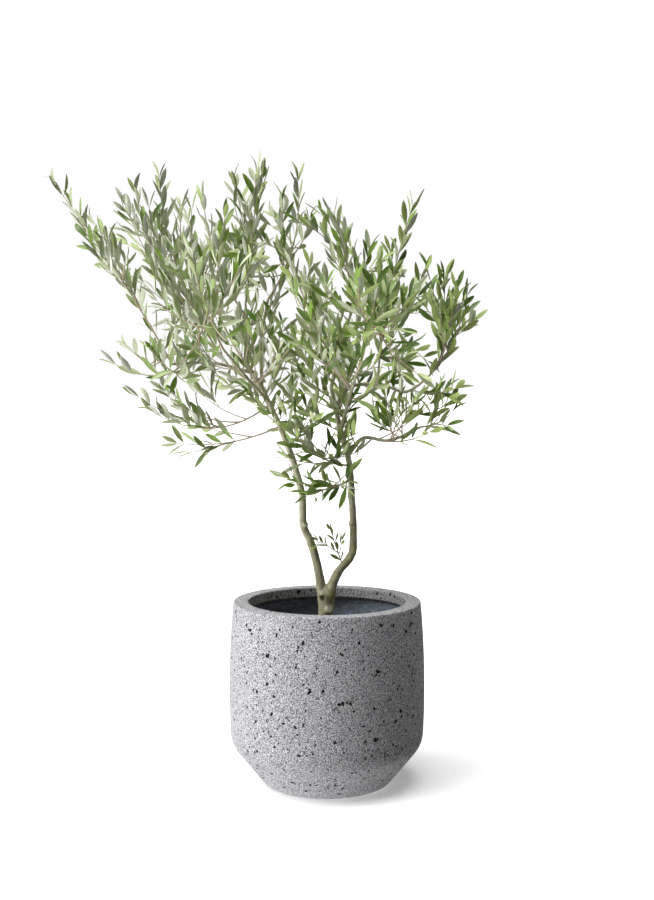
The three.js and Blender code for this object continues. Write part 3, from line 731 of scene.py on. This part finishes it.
def bark_finish(p):
    """Smooth bark, with a green film near the ground and on the right, and a healed wound."""
    finish = Finish("olive bark", p.bark, 0.85)
    streaks = finish.noise(0.0035, 4, 0.22)
    patches = finish.noise(0.016, 3, 0.45)
    flecks = finish.noise(0.0022)
    colour = finish.mix(streaks.between(0.32, 0.68), p.bark_dark, p.bark)
    colour = finish.mix(patches.between(0.5, 0.66) * 0.55, colour, p.bark_pale)
    right = finish.axis("X").between(-0.02, 0.03)
    low = finish.axis("Z").between(0.62, SOIL_TOP + 0.04)
    moss = finish.noise(0.016, 4).between(0.42, 0.62) * (low * 0.75 + right * 0.35)
    colour = finish.mix(moss, colour, p.moss)
    wound = finish.distance(WOUND) + finish.noise(0.004) * 0.006
    colour = finish.mix(wound.between(0.0115, 0.0085), colour, p.wound)
    relief = streaks + flecks * 0.35 + patches * 0.5
    return finish.paint(Base_Color=colour, Roughness=0.75 + patches * 0.2, bump=(relief, 0.0012))


# ---- shaping ----


def start(name, add, **where):
    """Adds a primitive with nothing else selected, and names it."""
    bpy.ops.object.select_all(action="DESELECT")
    add(**where)
    shape = bpy.context.object
    shape.name = name
    return shape


def put(name, data):
    """Puts new data into the scene as an object."""
    thing = bpy.data.objects.new(name, data)
    bpy.context.scene.collection.objects.link(thing)
    return thing


def apply_modifier(shape, kind, **settings):
    """Adds a modifier to the active shape and applies it."""
    modifier = shape.modifiers.new(kind.lower(), kind)
    for name, value in settings.items():
        setattr(modifier, name, value)
    bpy.ops.object.modifier_apply(modifier=modifier.name)


def alone(shape):
    """Makes a shape the only selected and the active one."""
    bpy.ops.object.select_all(action="DESELECT")
    shape.select_set(True)
    bpy.context.view_layer.objects.active = shape


def smooth(shape, degrees):
    """Shades a shape smooth, but for edges sharper than this."""
    alone(shape)
    bpy.ops.object.shade_smooth_by_angle(angle=math.radians(degrees))


def finish_piece(shape, materials, slot, *nodes):
    """Gives a piece its materials and its body, and hides the nodes that it stands for. slot is not
    used.
    """
    for material in materials:
        shape.data.materials.append(material)
    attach(shape, "root")
    if nodes:
        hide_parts(*nodes)


def turned(name, rings, segments, close=True):
    """A round shape from (radius, height) rings, extruded from a circle.

    Both its ends are closed, or its last ring is joined to its first where close is false.
    """
    (radius, height), *others = rings
    shape = start(
        name, bpy.ops.mesh.primitive_circle_add, vertices=segments, radius=radius,
        location=(0, 0, height),
    )
    bpy.ops.object.transform_apply(location=True, rotation=False, scale=False)
    bpy.ops.object.mode_set(mode="EDIT")
    for wider, higher in others:
        move = {"value": (0, 0, higher - height)}
        bpy.ops.mesh.extrude_edges_move(TRANSFORM_OT_translate=move)
        grow = wider / radius
        bpy.ops.transform.resize(value=(grow, grow, 1), center_override=(0, 0, higher))
        radius, height = wider, higher
    if close:
        bpy.ops.mesh.edge_face_add()
    bpy.ops.mesh.select_all(action="DESELECT")
    bpy.ops.mesh.select_mode(type="VERT")
    bpy.ops.mesh.select_non_manifold()
    if close:
        bpy.ops.mesh.edge_face_add()
    else:
        bpy.ops.mesh.bridge_edge_loops()
    bpy.ops.mesh.select_all(action="SELECT")
    bpy.ops.mesh.normals_make_consistent(inside=False)
    bpy.ops.object.mode_set(mode="OBJECT")
    return shape


def tubes(name, lines, sides):
    """Tapering round bars along lines of (points, radii, material index), as one mesh."""
    curve = bpy.data.curves.new(name, "CURVE")
    curve.dimensions = "3D"
    curve.bevel_depth = 1
    curve.bevel_resolution = sides
    curve.use_fill_caps = True
    for points, radii, index in lines:
        spline = curve.splines.new("POLY")
        spline.points.add(len(points) - 1)
        spline.material_index = index
        for knot, point, radius in zip(spline.points, points, radii):
            knot.co = (*point, 1)
            knot.radius = radius
    alone(put(name, curve))
    bpy.ops.object.convert(target="MESH")
    return bpy.context.object


def copies(name, corners, faces, colours=None):
    """One mesh of many copies of a shape.

    corners is (copy, corner, 3), faces the corner lists of one copy, and colours the index of each
    face's material.
    """
    count, size, _ = corners.shape
    mesh = bpy.data.meshes.new(name)
    steps = np.arange(count)[:, None] * size
    loops = np.concatenate([np.array(face)[None] + steps for face in faces], axis=1)
    lengths = np.tile([len(face) for face in faces], count)
    mesh.vertices.add(count * size)
    mesh.vertices.foreach_set("co", corners.astype(np.float32).ravel())
    mesh.loops.add(loops.size)
    mesh.loops.foreach_set("vertex_index", loops.astype(np.int32).ravel())
    mesh.polygons.add(len(lengths))
    mesh.polygons.foreach_set("loop_start", np.concatenate([[0], np.cumsum(lengths)[:-1]]))
    if colours is not None:
        mesh.polygons.foreach_set("material_index", colours.ravel())
    mesh.update(calc_edges=True)
    mesh.validate()
    return put(name, mesh)


# ---- planter and soil ----


def rounded(before, corner, after, reach, steps):
    """A rounded corner that starts and ends at reach from the corner."""
    at = Vector(corner)
    first = at + (Vector(before) - at).normalized() * reach
    last = at + (Vector(after) - at).normalized() * reach
    shares = [i / steps for i in range(steps + 1)]
    return [tuple(first.lerp(at, s).lerp(at.lerp(last, s), s)) for s in shares]


def barrel(p, height):
    """The planter's outer radius at a height: a shallow arc, widest at the belly."""
    fall = (BELLY_RADIUS - p.rim_radius) / (PLANTER_TOP - p.belly_height) ** 2
    return BELLY_RADIUS - fall * (height - p.belly_height) ** 2


FOOT_ROUND = 0.0085
SHOULDER_ROUND = 0.022
LIP_ROUND = 0.003
FLOOR_TOP = 0.02  # the planter's floor inside


def planter_rings(p):
    """The planter's profile, from the flat underside up, over the lip and down inside."""
    outside = [0.135 + 0.0206 * i for i in range(12)]
    inside = [*(0.36 - 0.045 * i for i in range(6)), p.shoulder_height + p.wall / 2]
    shoulder, above, below_rim = (
        (barrel(p, height), height) for height in (p.shoulder_height, p.shoulder_height + 0.04, 0.37)
    )
    foot, rim = (p.foot_radius, 0), (p.rim_radius, PLANTER_TOP)
    lip, under = (p.opening_radius, PLANTER_TOP), (p.opening_radius, PLANTER_TOP - p.lip_depth)
    return [
        *rounded((0, 0), foot, shoulder, FOOT_ROUND, 6),
        *(tuple(Vector(foot).lerp(shoulder, share)) for share in (0.2, 0.35, 0.5, 0.65)),
        *rounded(foot, shoulder, above, SHOULDER_ROUND, 8),
        *((barrel(p, height), height) for height in outside),
        *rounded(below_rim, rim, lip, LIP_ROUND, 4),
        *rounded(rim, lip, under, LIP_ROUND, 4),
        under,
        *((barrel(p, height) - p.wall, height) for height in inside),
        (p.foot_radius, FLOOR_TOP),
    ]


def uneven_lumps(name, places, sizes, turns, stretch):
    """Many icosphere lumps as one mesh, each with its own size, turn and stretch."""
    seed = start(name + " seed", bpy.ops.mesh.primitive_ico_sphere_add, subdivisions=1, radius=1)
    corners = np.array([v.co for v in seed.data.vertices])
    faces = [list(face.vertices) for face in seed.data.polygons]
    bpy.data.objects.remove(seed)
    shaken = corners[None] * stretch[:, None, :] * sizes[:, None, None]
    return copies(name, np.einsum("nij,nkj->nki", turns, shaken) + places[:, None, :], faces)


def random_turns(chance, count):
    """count random rotations, as matrices."""
    q = chance.normal(size=(count, 4))
    w, x, y, z = (q / np.linalg.norm(q, axis=1, keepdims=True)).T
    return np.stack([
        np.stack([1 - 2 * (y * y + z * z), 2 * (x * y - z * w), 2 * (x * z + y * w)], 1),
        np.stack([2 * (x * y + z * w), 1 - 2 * (x * x + z * z), 2 * (y * z - x * w)], 1),
        np.stack([2 * (x * z - y * w), 2 * (y * z + x * w), 1 - 2 * (x * x + y * y)], 1),
    ], 1)


LOWEST_PIT = 0.016
PIT_MARGIN = 0.021  # the height without pits, at the planter's foot and under its top together
LEAST_PIT = 0.0014  # radii
PIT_SPREAD = 0.0027


def cut_pits(shape, p):
    """Cuts scattered pits out of the planter's outer wall, the lip's top and its inner face."""
    chance = np.random.default_rng(7)
    count, lip = p.pits, p.lip_pits
    height = LOWEST_PIT + (PLANTER_TOP - PIT_MARGIN) * chance.random(count) ** 1.1
    shoulder = barrel(p, p.shoulder_height)
    radius = np.where(
        height < p.shoulder_height,
        p.foot_radius + (shoulder - p.foot_radius) * height / p.shoulder_height,
        [barrel(p, z) for z in height],
    )
    height[:lip] = PLANTER_TOP
    radius[:lip] = p.opening_radius + (p.rim_radius - p.opening_radius) * chance.random(lip)
    height[lip:2 * lip] = PLANTER_TOP - p.lip_depth * chance.uniform(0.1, 0.8, lip)
    radius[lip:2 * lip] = p.opening_radius
    around = chance.random(count) * 2 * math.pi
    places = np.stack([radius * np.cos(around), radius * np.sin(around), height], 1)
    sizes = LEAST_PIT + PIT_SPREAD * chance.random(count) ** 2.8  # mostly small
    stretch = 0.6 + 1.1 * chance.random((count, 3)) ** 1.5
    cutter = uneven_lumps("pit cutter", places, sizes, random_turns(chance, count), stretch)
    for material in shape.data.materials:
        cutter.data.materials.append(material)
    cutter.data.polygons.foreach_set("material_index", [1] * len(cutter.data.polygons))
    alone(shape)
    apply_modifier(shape, "BOOLEAN", object=cutter, solver="MANIFOLD", operation="DIFFERENCE")
    bpy.data.objects.remove(cutter)


class OLIVE_OT_planter(bpy.types.Operator):
    """Turn the stone planter, cut its pits and coat it inside"""

    bl_idname = "olive.planter"
    bl_label = "Planter"

    def execute(self, context):
        p = context.scene.olive_planter
        shape = turned("planter_body", planter_rings(p), 144)
        for material in (stone_finish(p), pit_shade_finish(p)):
            shape.data.materials.append(material)
        cut_pits(shape, p)
        smooth(shape, 35)
        finish_piece(shape, [], "planter", "planter")
        self.coat(p)
        return {"FINISHED"}

    def coat(self, p):
        """The lining, a thin shell on the inner wall with the brush's waves in it."""
        rows, thick, gap = 14, 0.0022, 0.0002
        low, high = SOIL_TOP - 0.012, PLANTER_TOP - p.lip_depth - 0.0005
        heights = [low + (high - low) * i / rows for i in range(rows + 1)]
        wall = [(barrel(p, height) - p.wall - gap, height) for height in heights]
        inner = [(radius - thick, height) for radius, height in reversed(wall)]
        coat = turned("planter_lining", [*wall, *inner], 240, close=False)
        waves = bpy.data.textures.new("brush waves", "CLOUDS")
        waves.noise_scale = 0.016
        waves.noise_depth = 2
        inside = coat.vertex_groups.new(name="inside")
        middle = [
            v.index for v in coat.data.vertices
            if v.co.xy.length < barrel(p, v.co.z) - p.wall - thick / 2
        ]
        inside.add(middle, 1, "REPLACE")
        apply_modifier(coat, "DISPLACE", texture=waves, strength=0.005, vertex_group="inside")
        smooth(coat, 60)
        finish_piece(coat, [lining_finish(p)], "planter")


class OLIVE_OT_soil(bpy.types.Operator):
    """Strew crumbs of soil over the soil's level top"""

    bl_idname = "olive.soil"
    bl_label = "Soil"

    def execute(self, context):
        p = context.scene.olive_planter
        material = soil_finish(p)
        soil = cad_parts["soil"]
        soil.data.materials.clear()
        soil.data.materials.append(material)
        chance = np.random.default_rng(11)
        count = p.crumbs
        reach = barrel(p, SOIL_TOP) - p.wall - 0.006
        radius = reach * np.sqrt(chance.random(count))
        around = chance.random(count) * 2 * math.pi
        sizes = 0.0022 + 0.0034 * chance.random(count) ** 2
        height = SOIL_TOP + sizes * 0.2
        places = np.stack([radius * np.cos(around), radius * np.sin(around), height], 1)
        stretch = 0.7 + 0.7 * chance.random((count, 3))
        crumbs = uneven_lumps("soil_crumbs", places, sizes, random_turns(chance, count), stretch)
        finish_piece(crumbs, [material], "soil")
        return {"FINISHED"}


# ---- bark ----

# Stubs of cut branches and knots: the limb, the share of its length, the degrees round it, how far
# it stands out of the bark, and its radius.
STUBS = [
    ("trunk", 0.53, 30, 0.006, 0.0095),
    ("trunk", 0.80, 325, 0.002, 0.0075),
    ("stem_left", 0.03, 300, 0.005, 0.004),
    ("stem_left", 0.27, 200, 0.003, 0.0065),
    ("stem_right", 0.16, 200, 0.004, 0.006),
    ("stem_right", 0.33, 190, 0.002, 0.0065),
    ("stem_left", 0.55, 30, 0.003, 0.005),
    ("stem_left", 0.93, 200, 0.010, 0.003),
    ("stem_right", 0.88, 30, 0.010, 0.003),
]


FLARE_HEIGHT = 0.034
SWELLING_FOOT = 0.375
SWELLING_HEIGHT = 0.03
TRUNK_END = 0.408  # where the trunk begins to narrow into the fork


def trunk_radius(height):
    """The trunk's radius: a root flare, a waist and a swelling under the fork."""
    flare = 1 - min(max(height - SOIL_TOP, 0) / FLARE_HEIGHT, 1)
    swelling = min(max((height - SWELLING_FOOT) / SWELLING_HEIGHT, 0), 1)
    end = min(max((height - TRUNK_END) / (FORK_HEIGHT - TRUNK_END), 0), 1)
    return 0.0162 + 0.0122 * flare**2 + 0.003 * swelling**2 - 0.012 * end


class OLIVE_OT_bark(bpy.types.Operator):
    """Join the trunk, stems and boughs into one limb with the bark's relief"""

    bl_idname = "olive.bark"
    bl_label = "Trunk and Boughs"

    def execute(self, context):
        p = context.scene.olive_bark
        trunk = smooth_path([Vector(point) for point in TRUNK_LINE])
        points = trunk.spaced(24)
        lines = [(points, [trunk_radius(point.z) for point in points], 0)]
        paths = limb_paths()
        lines += [self.limb(LIMBS[name], path) for name, path in paths.items()]
        lines += self.stubs({"trunk": trunk, **paths})
        lines += self.roots()
        bark = tubes("bark", lines, 3)
        apply_modifier(bark, "REMESH", mode="VOXEL", voxel_size=p.fineness)
        apply_modifier(bark, "SMOOTH", factor=0.5, iterations=12)
        self.relief(bark, 0.022, 1, p.lumps)
        self.relief(bark, 0.0045, 2.5, p.streaks)
        smooth(bark, 80)
        finish_piece(bark, [bark_finish(p)], "bark", "trunk", *LIMBS)
        return {"FINISHED"}

    def limb(self, limb, path):
        """A limb's bar. A stem's foot reaches down into the trunk and swells over 50 mm."""
        step = 0.008
        points = path.spaced(max(8, round(path.length / step)))
        if not limb.on:
            points.insert(0, Vector((points[0].x / 2, 0, points[0].z - 0.05)))
        count = len(points) - 1
        radii = [limb.foot + (limb.tip - limb.foot) * i / count for i in range(count + 1)]
        if not limb.on:
            radii = [r + 0.0016 * max(0, 1 - i * step / 0.05) for i, r in enumerate(radii)]
        return points, radii, 0

    def stubs(self, paths):
        """Short bars that stand out of the bark where branches were cut."""
        lines = []
        for name, share, around, stand, radius in STUBS:
            root, heading = paths[name].part(share)
            if name == "trunk":
                thick = trunk_radius(root.z)
            else:
                thick = LIMBS[name].foot * (1 - 0.4 * share)
            along = leaving(heading, around, 65, 0)
            tip = root + along * (thick + stand)
            radii = [radius * 1.15, radius, radius * 0.7]
            lines.append(([root, tip - along * 0.001, tip], radii, 0))
        return lines

    def roots(self):
        """The root flare's low ridges, which run down into the soil."""
        lines = []
        foot = Vector(TRUNK_LINE[0])
        for around in map(math.radians, (15, 95, 170, 235, 300)):
            out = Vector((math.cos(around), math.sin(around), 0))
            top = foot + out * 0.009 + UP * 0.036
            low = foot + out * 0.026 + UP * 0.004
            middle = top.lerp(low, 0.5) - out * 0.003
            lines.append(([top, middle, low], [0.005, 0.0075, 0.009], 0))
        return lines

    def relief(self, bark, size, stretch, depth):
        """Raises and lowers the bark by noise that is stretched up the limbs."""
        texture = bpy.data.textures.new("bark relief", "CLOUDS")
        texture.noise_scale = size
        texture.noise_depth = 3
        grid = put("bark grid", None)
        grid.scale = (1, 1, stretch)
        bpy.context.view_layer.update()
        alone(bark)
        apply_modifier(
            bark, "DISPLACE", texture=texture, texture_coords="OBJECT",
            texture_coords_object=grid, strength=depth,
        )
        bpy.data.objects.remove(grid)


# ---- twigs and leaves ----


def twigs_piece(wood, p):
    """The crown's shoots and twigs, as one mesh in three colours of wood."""
    chance = random.Random("wood")
    lines = []
    for path, foot, tip, is_twig in wood:
        count = 3 if is_twig else max(3, round(path.length / 0.022))
        radii = [foot + (tip - foot) * (i / count) ** 0.7 for i in range(count + 1)]
        tint = chance.choice((1, 2, 2) if is_twig else (0, 0, 1))
        lines.append((path.spaced(count), radii, tint))
    twigs = tubes("twigs", lines, 1)
    smooth(twigs, 60)
    materials = [
        Finish("old twigs", p.old_twig, 0.85).material,
        Finish("yearling twigs", p.yearling_twig, 0.75).material,
        Finish("green twigs", p.green_twig, 0.65).material,
    ]
    finish_piece(twigs, materials, "bark")


# A leaf's width along it, from its stalk to its tip, as shares of its length and its full width.
LEAF_SHAPE = [
    (0, 0.08), (0.07, 0.1), (0.2, 0.52), (0.4, 0.93), (0.62, 1), (0.84, 0.66), (0.96, 0.25), (1, 0),
]


def leaf_faces():
    """The corner lists of one leaf, upper side first, and how many of them are upper faces."""
    rings = len(LEAF_SHAPE) - 1
    tip = rings * 4
    upper, lower = [], []
    for ring in range(rings - 1):
        a, b = ring * 4, ring * 4 + 4
        upper += [(a, a + 1, b + 1, b), (a + 1, a + 2, b + 2, b + 1)]
        lower += [(a + 2, a + 3, b + 3, b + 2), (a + 3, a, b, b + 3)]
    last = tip - 4
    upper += [(last, last + 1, tip), (last + 1, last + 2, tip)]
    lower += [(last + 2, last + 3, tip), (last + 3, last, tip), (3, 2, 1, 0)]
    return upper + lower, len(upper)


def leaf_corners(leaves, chance):
    """All leaves' corners: rings of left edge, midrib, right edge and keel, and a tip."""
    root, along, face, length, width, _ = (np.array(part) for part in zip(*leaves))
    across = np.cross(along, face)
    count = len(leaves)
    fold = chance.uniform(0.12, 0.5, count)
    bend = chance.normal(0.02, 0.07, count) * length
    twist = chance.normal(0, 0.25, count)
    rows = []
    for share, wide in LEAF_SHAPE:
        middle = root + along * (share * length)[:, None]
        middle = middle - face * (bend * 4 * (share - 0.5) ** 2 - bend)[:, None]
        turn = twist * share
        side = across * np.cos(turn)[:, None] + face * np.sin(turn)[:, None]
        lift = face * np.cos(turn)[:, None] - across * np.sin(turn)[:, None]
        reach = (wide * width / 2)[:, None]
        edge = lift * reach * fold[:, None]
        keel = middle - lift * 0.00055
        rows += [middle + side * reach + edge, middle, middle - side * reach + edge, keel]
    return np.stack([*rows[:-4], middle], 1)


def dealt(chance, middle, spread, count):
    """One of count colours for each leaf, about its share of the way from the first to the last."""
    draw = np.clip(chance.normal(middle, spread), 0, 0.999)
    return (draw * count).astype(int)[:, None]


def leaf_pieces(leaves, p):
    """The crown's leaves in two meshes, green above and silver below."""
    chance = np.random.default_rng(5)
    uppers = [p.deep_green, p.leaf_green, p.fresh_green, p.grey_green]
    unders = [p.green_sage, p.sage, p.silver, p.pale_silver]
    materials = [
        Finish(f"{side} {i + 1}", colour, roughness, Specular_IOR_Level=gloss).material
        for side, colours, roughness, gloss in (
            ("leaf top", uppers, 0.44, 0.6), ("leaf underside", unders, 0.65, 0.4),
        )
        for i, colour in enumerate(colours)
    ]
    corners = leaf_corners(leaves, chance)
    faces, split = leaf_faces()
    # Each leaf's colours are dealt by its spray's tone, which carries painted shade to the right and
    # low down.
    tone = np.array([leaf.tone for leaf in leaves])
    upper = dealt(chance, 0.85 - 0.65 * tone, 0.3, len(uppers))
    under = dealt(chance, 0.85 - 0.75 * tone, 0.25, len(unders)) + len(uppers)
    colours = np.concatenate([upper.repeat(split, 1), under.repeat(len(faces) - split, 1)], 1)
    half = len(leaves) // 2
    for name, part, nodes in (
        ("leaves_1", slice(0, half), MASSES), ("leaves_2", slice(half, None), ()),
    ):
        piece = copies(name, corners[part], faces, colours[part])
        smooth(piece, 50)
        finish_piece(piece, materials, "foliage", *nodes)


class OLIVE_OT_crown(bpy.types.Operator):
    """Grow the crown's shoots, twigs and leaves from the boughs"""

    bl_idname = "olive.crown"
    bl_label = "Crown"

    def execute(self, context):
        p = context.scene.olive_foliage
        crown = Crown(p)
        twigs_piece(crown.wood, p)
        leaf_pieces(crown.leaves, p)
        return {"FINISHED"}


# ---- stage ----


def wide_light(name, direction, angle, power):
    """Even light from a wide patch of sky in one direction."""
    light = bpy.data.lights.new(name, "SUN")
    light.angle = math.radians(angle)
    light.energy = power
    put(name, light).rotation_euler = Vector(direction).to_track_quat("Z", "Y").to_euler()


class OLIVE_OT_stage(bpy.types.Operator):
    """Set the floor, the lights and the camera"""

    bl_idname = "olive.stage"
    bl_label = "Stage"

    def execute(self, context):
        p = context.scene.olive_stage
        self.floor(p)
        wide_light("side light", (-0.92, -0.38, -0.12), 45, p.side)
        wide_light("high side light", (-0.68, -0.2, 0.7), 50, p.high_side)
        wide_light("low side light", (-0.7, -0.2, -0.7), 60, p.low_side)
        wide_light("top light", (-0.18, -0.14, 1), 60, p.top)
        wide_light("back light", (0.75, 0.62, 0.2), 50, p.back)
        context.scene.world = self.world(p)
        camera = put("camera", bpy.data.cameras.new("camera"))
        camera.location = (0, -p.distance, p.eye_height)
        camera.rotation_euler = (math.radians(90), 0, 0)
        camera.data.lens = p.lens
        camera.data.shift_y = p.shift
        camera.data.clip_end = 500
        context.scene.camera = camera
        context.scene.view_settings.view_transform = "Standard"
        return {"FINISHED"}

    def floor(self, p):
        """A wide floor that takes shadows and throws no light on the plant."""
        floor = start("floor", bpy.ops.mesh.primitive_plane_add, size=400)
        finish = Finish("floor", p.floor, 1, Specular_IOR_Level=0)
        finish.paint(Emission_Color=(1, 1, 1, 1), Emission_Strength=p.glow)
        floor.data.materials.append(finish.material)
        floor.visible_diffuse = False
        floor.visible_shadow = False

    def world(self, p):
        """A pale backdrop that gives only soft light, most of it from below."""
        world = bpy.data.worlds.new("studio")
        world.use_nodes = True
        nodes = Nodes(world.node_tree)
        seen = nodes.tree.nodes["Background"]
        nodes.feed(seen, {"Color": (*p.backdrop, 1)})
        where = nodes.node("ShaderNodeTexCoord").outputs["Generated"]
        height = nodes.node("ShaderNodeSeparateXYZ", {"Vector": where}).outputs["Z"]
        strength = nodes.node("ShaderNodeMapRange", {
            "Value": height, "From Min": -1, "From Max": -0.2,
            "To Min": p.bounce, "To Max": p.ambient,
        }).outputs["Result"]
        soft = nodes.node("ShaderNodeBackground", {"Strength": strength})
        camera_ray = nodes.node("ShaderNodeLightPath").outputs["Is Camera Ray"]
        sockets = {0: camera_ray, 1: soft.outputs[0], 2: seen.outputs[0]}
        choose = nodes.node("ShaderNodeMixShader", sockets)
        nodes.feed(nodes.tree.nodes["World Output"], {"Surface": choose.outputs[0]})
        return world


# ---- settings ----


def length(name, description, default):
    return FloatProperty(name=name, description=description, default=default, unit="LENGTH")


def number(name, description, default):
    return FloatProperty(name=name, description=description, default=default)


def count(name, description, default):
    return IntProperty(name=name, description=description, default=default)


def colour(name, description, default):
    return FloatVectorProperty(
        name=name, description=description, default=default, subtype="COLOR", min=0, max=1
    )


class PlanterSettings(bpy.types.PropertyGroup):
    foot_radius: length("Foot radius", "Where the slanted foot meets the ground", 0.137)
    shoulder_height: length("Shoulder height", "Where the slanted foot meets the barrel", 0.088)
    belly_height: length("Belly height", "Where the barrel is widest", 0.212)
    rim_radius: length("Rim radius", "Outer radius at the top", 0.2055)
    opening_radius: length("Opening radius", "Inner radius of the lip", 0.1725)
    lip_depth: length("Lip depth", "Height of the thick lip", 0.021)
    wall: length("Wall", "Thickness of the wall below the lip", 0.013)
    pits: count("Pits", "How many pits the stone has", 1750)
    lip_pits: count("Lip pits", "How many on each face of the lip", 70)
    crumbs: count("Crumbs", "How many crumbs the soil has", 2600)
    stone: colour("Stone", "The stone's middle grey", (0.36, 0.362, 0.378))
    # Painted shade for the smallest holes, which are not cut.
    hole_shade: colour("Specks", "The smallest holes in the stone", (0.05, 0.05, 0.052))
    dark_grain: colour("Dark grain", "The stone's dark grains", (0.105, 0.105, 0.11))
    pale_grain: colour("Pale grain", "The stone's pale grains", (0.725, 0.725, 0.75))
    warm_grain: colour("Warm grain", "The few rust-brown grains", (0.55, 0.34, 0.18))
    # Painted shade: the pits' insides are coloured near-black for the shade in them.
    pit: colour("Pit", "The inside of the pits", (0.008, 0.008, 0.009))
    lining: colour("Lining", "The coat inside the planter", (0.36, 0.42, 0.53))
    soil: colour("Soil", "The potting soil", (0.05, 0.035, 0.024))


class BarkSettings(bpy.types.PropertyGroup):
    fineness: length("Fineness", "Size of the bark mesh's faces", 0.0014)
    lumps: length("Lumps", "Height of the broad unevenness", 0.0022)
    streaks: length("Streaks", "Height of the fine streaks", 0.0009)
    bark: colour("Bark", "The bark's grey-olive", (0.56, 0.53, 0.37))
    bark_dark: colour("Dark bark", "The bark's darker streaks", (0.285, 0.265, 0.175))
    bark_pale: colour("Pale bark", "The bark's pale patches", (0.72, 0.69, 0.54))
    moss: colour("Moss", "The green film near the ground", (0.40, 0.40, 0.17))
    wound: colour("Wound", "The healed wound on the trunk", (0.085, 0.095, 0.045))


class FoliageSettings(bpy.types.PropertyGroup):
    finer: count("Finer shoots", "Thin shoots in each mass", 2)
    twig_spacing: length("Twig spacing", "Distance from twig to twig along a shoot", 0.095)
    short_shoot: length("Short shoots", "Length of the short shoots on the limbs", 0.11)
    short_spacing: length("Short shoot spacing", "Distance between these", 0.05)
    leaf_spacing: length("Leaf spacing", "Distance from pair to pair of leaves", 0.0255)
    leaf_length: length("Leaf length", "Length of a full-grown leaf", 0.054)
    leaf_width: length("Leaf width", "Width of a full-grown leaf", 0.0118)
    leaf_room: length("Leaf room", "Least distance between two leaves' middles", 0.0149)
    leaf_roll: number("Leaf roll", "Degrees that leaves turn about their midribs", 55)
    leaf_angle: number("Leaf angle", "Degrees between a leaf and its twig", 42)
    deep_green: colour("Deep green", "Darkest leaf tops", (0.085, 0.166, 0.012))
    leaf_green: colour("Leaf green", "Most leaf tops", (0.180, 0.300, 0.034))
    fresh_green: colour("Fresh green", "Young leaf tops", (0.315, 0.415, 0.145))
    grey_green: colour("Grey green", "Palest leaf tops", (0.39, 0.455, 0.265))
    green_sage: colour("Green sage", "Leaf undersides in the shade", (0.365, 0.470, 0.145))
    sage: colour("Sage", "Darkest leaf undersides", (0.460, 0.535, 0.265))
    silver: colour("Silver", "Most leaf undersides", (0.555, 0.60, 0.435))
    pale_silver: colour("Pale silver", "Palest leaf undersides", (0.71, 0.735, 0.615))
    old_twig: colour("Old twigs", "Grey-brown wood", (0.48, 0.40, 0.29))
    yearling_twig: colour("Yearling twigs", "Tan wood", (0.74, 0.62, 0.42))
    green_twig: colour("Green twigs", "Pale green wood", (0.70, 0.67, 0.42))


class StageSettings(bpy.types.PropertyGroup):
    distance: length("Distance", "From the camera to the trunk", 2.64)
    eye_height: length("Eye height", "The camera's height", 0.8565)
    lens: number("Lens", "Focal length in millimetres", 48)
    shift: number("Shift", "The camera's upward shift", -0.0673)
    side: number("Side", "Light from the left", 0.85)
    high_side: number("High side", "Light from the upper left", 2.2)
    low_side: number("Low side", "Light from the lower left", 3.0)
    top: number("Top", "Light from above", 3.3)
    back: number("Back", "Light from behind on the right", 0.25)
    ambient: number("Ambient", "Soft light from above", 0.02)
    bounce: number("Bounce", "Soft light from below", 0.5)
    glow: number("Glow", "Light that the floor itself gives", 0.28)
    floor: colour("Floor", "The floor", (0.9, 0.9, 0.9))
    backdrop: colour("Backdrop", "What shows behind the plant", (1, 1, 1))


class OLIVE_PT_panel(bpy.types.Panel):
    """Lists the steps that build the plant"""

    bl_idname = "OLIVE_PT_panel"
    bl_label = "Potted Olive Tree"
    bl_space_type = "VIEW_3D"
    bl_region_type = "UI"
    bl_category = "Olive"

    def draw(self, context):
        for step in STEPS:
            self.layout.operator(step.bl_idname)


STEPS = [OLIVE_OT_planter, OLIVE_OT_soil, OLIVE_OT_bark, OLIVE_OT_crown, OLIVE_OT_stage]
SETTINGS = {
    "olive_planter": PlanterSettings,
    "olive_bark": BarkSettings,
    "olive_foliage": FoliageSettings,
    "olive_stage": StageSettings,
}


CLASSES = (*SETTINGS.values(), *STEPS, OLIVE_PT_panel)


def register():
    for kind in CLASSES:
        bpy.utils.register_class(kind)
    for name, kind in SETTINGS.items():
        setattr(bpy.types.Scene, name, PointerProperty(type=kind))


def unregister():
    for name in SETTINGS:
        delattr(bpy.types.Scene, name)
    for kind in reversed(CLASSES):
        bpy.utils.unregister_class(kind)


def main():
    register()
    bpy.ops.olive.planter()
    bpy.ops.olive.soil()
    bpy.ops.olive.bark()
    bpy.ops.olive.crown()
    bpy.ops.olive.stage()


if __name__ == "__main__":
    main()
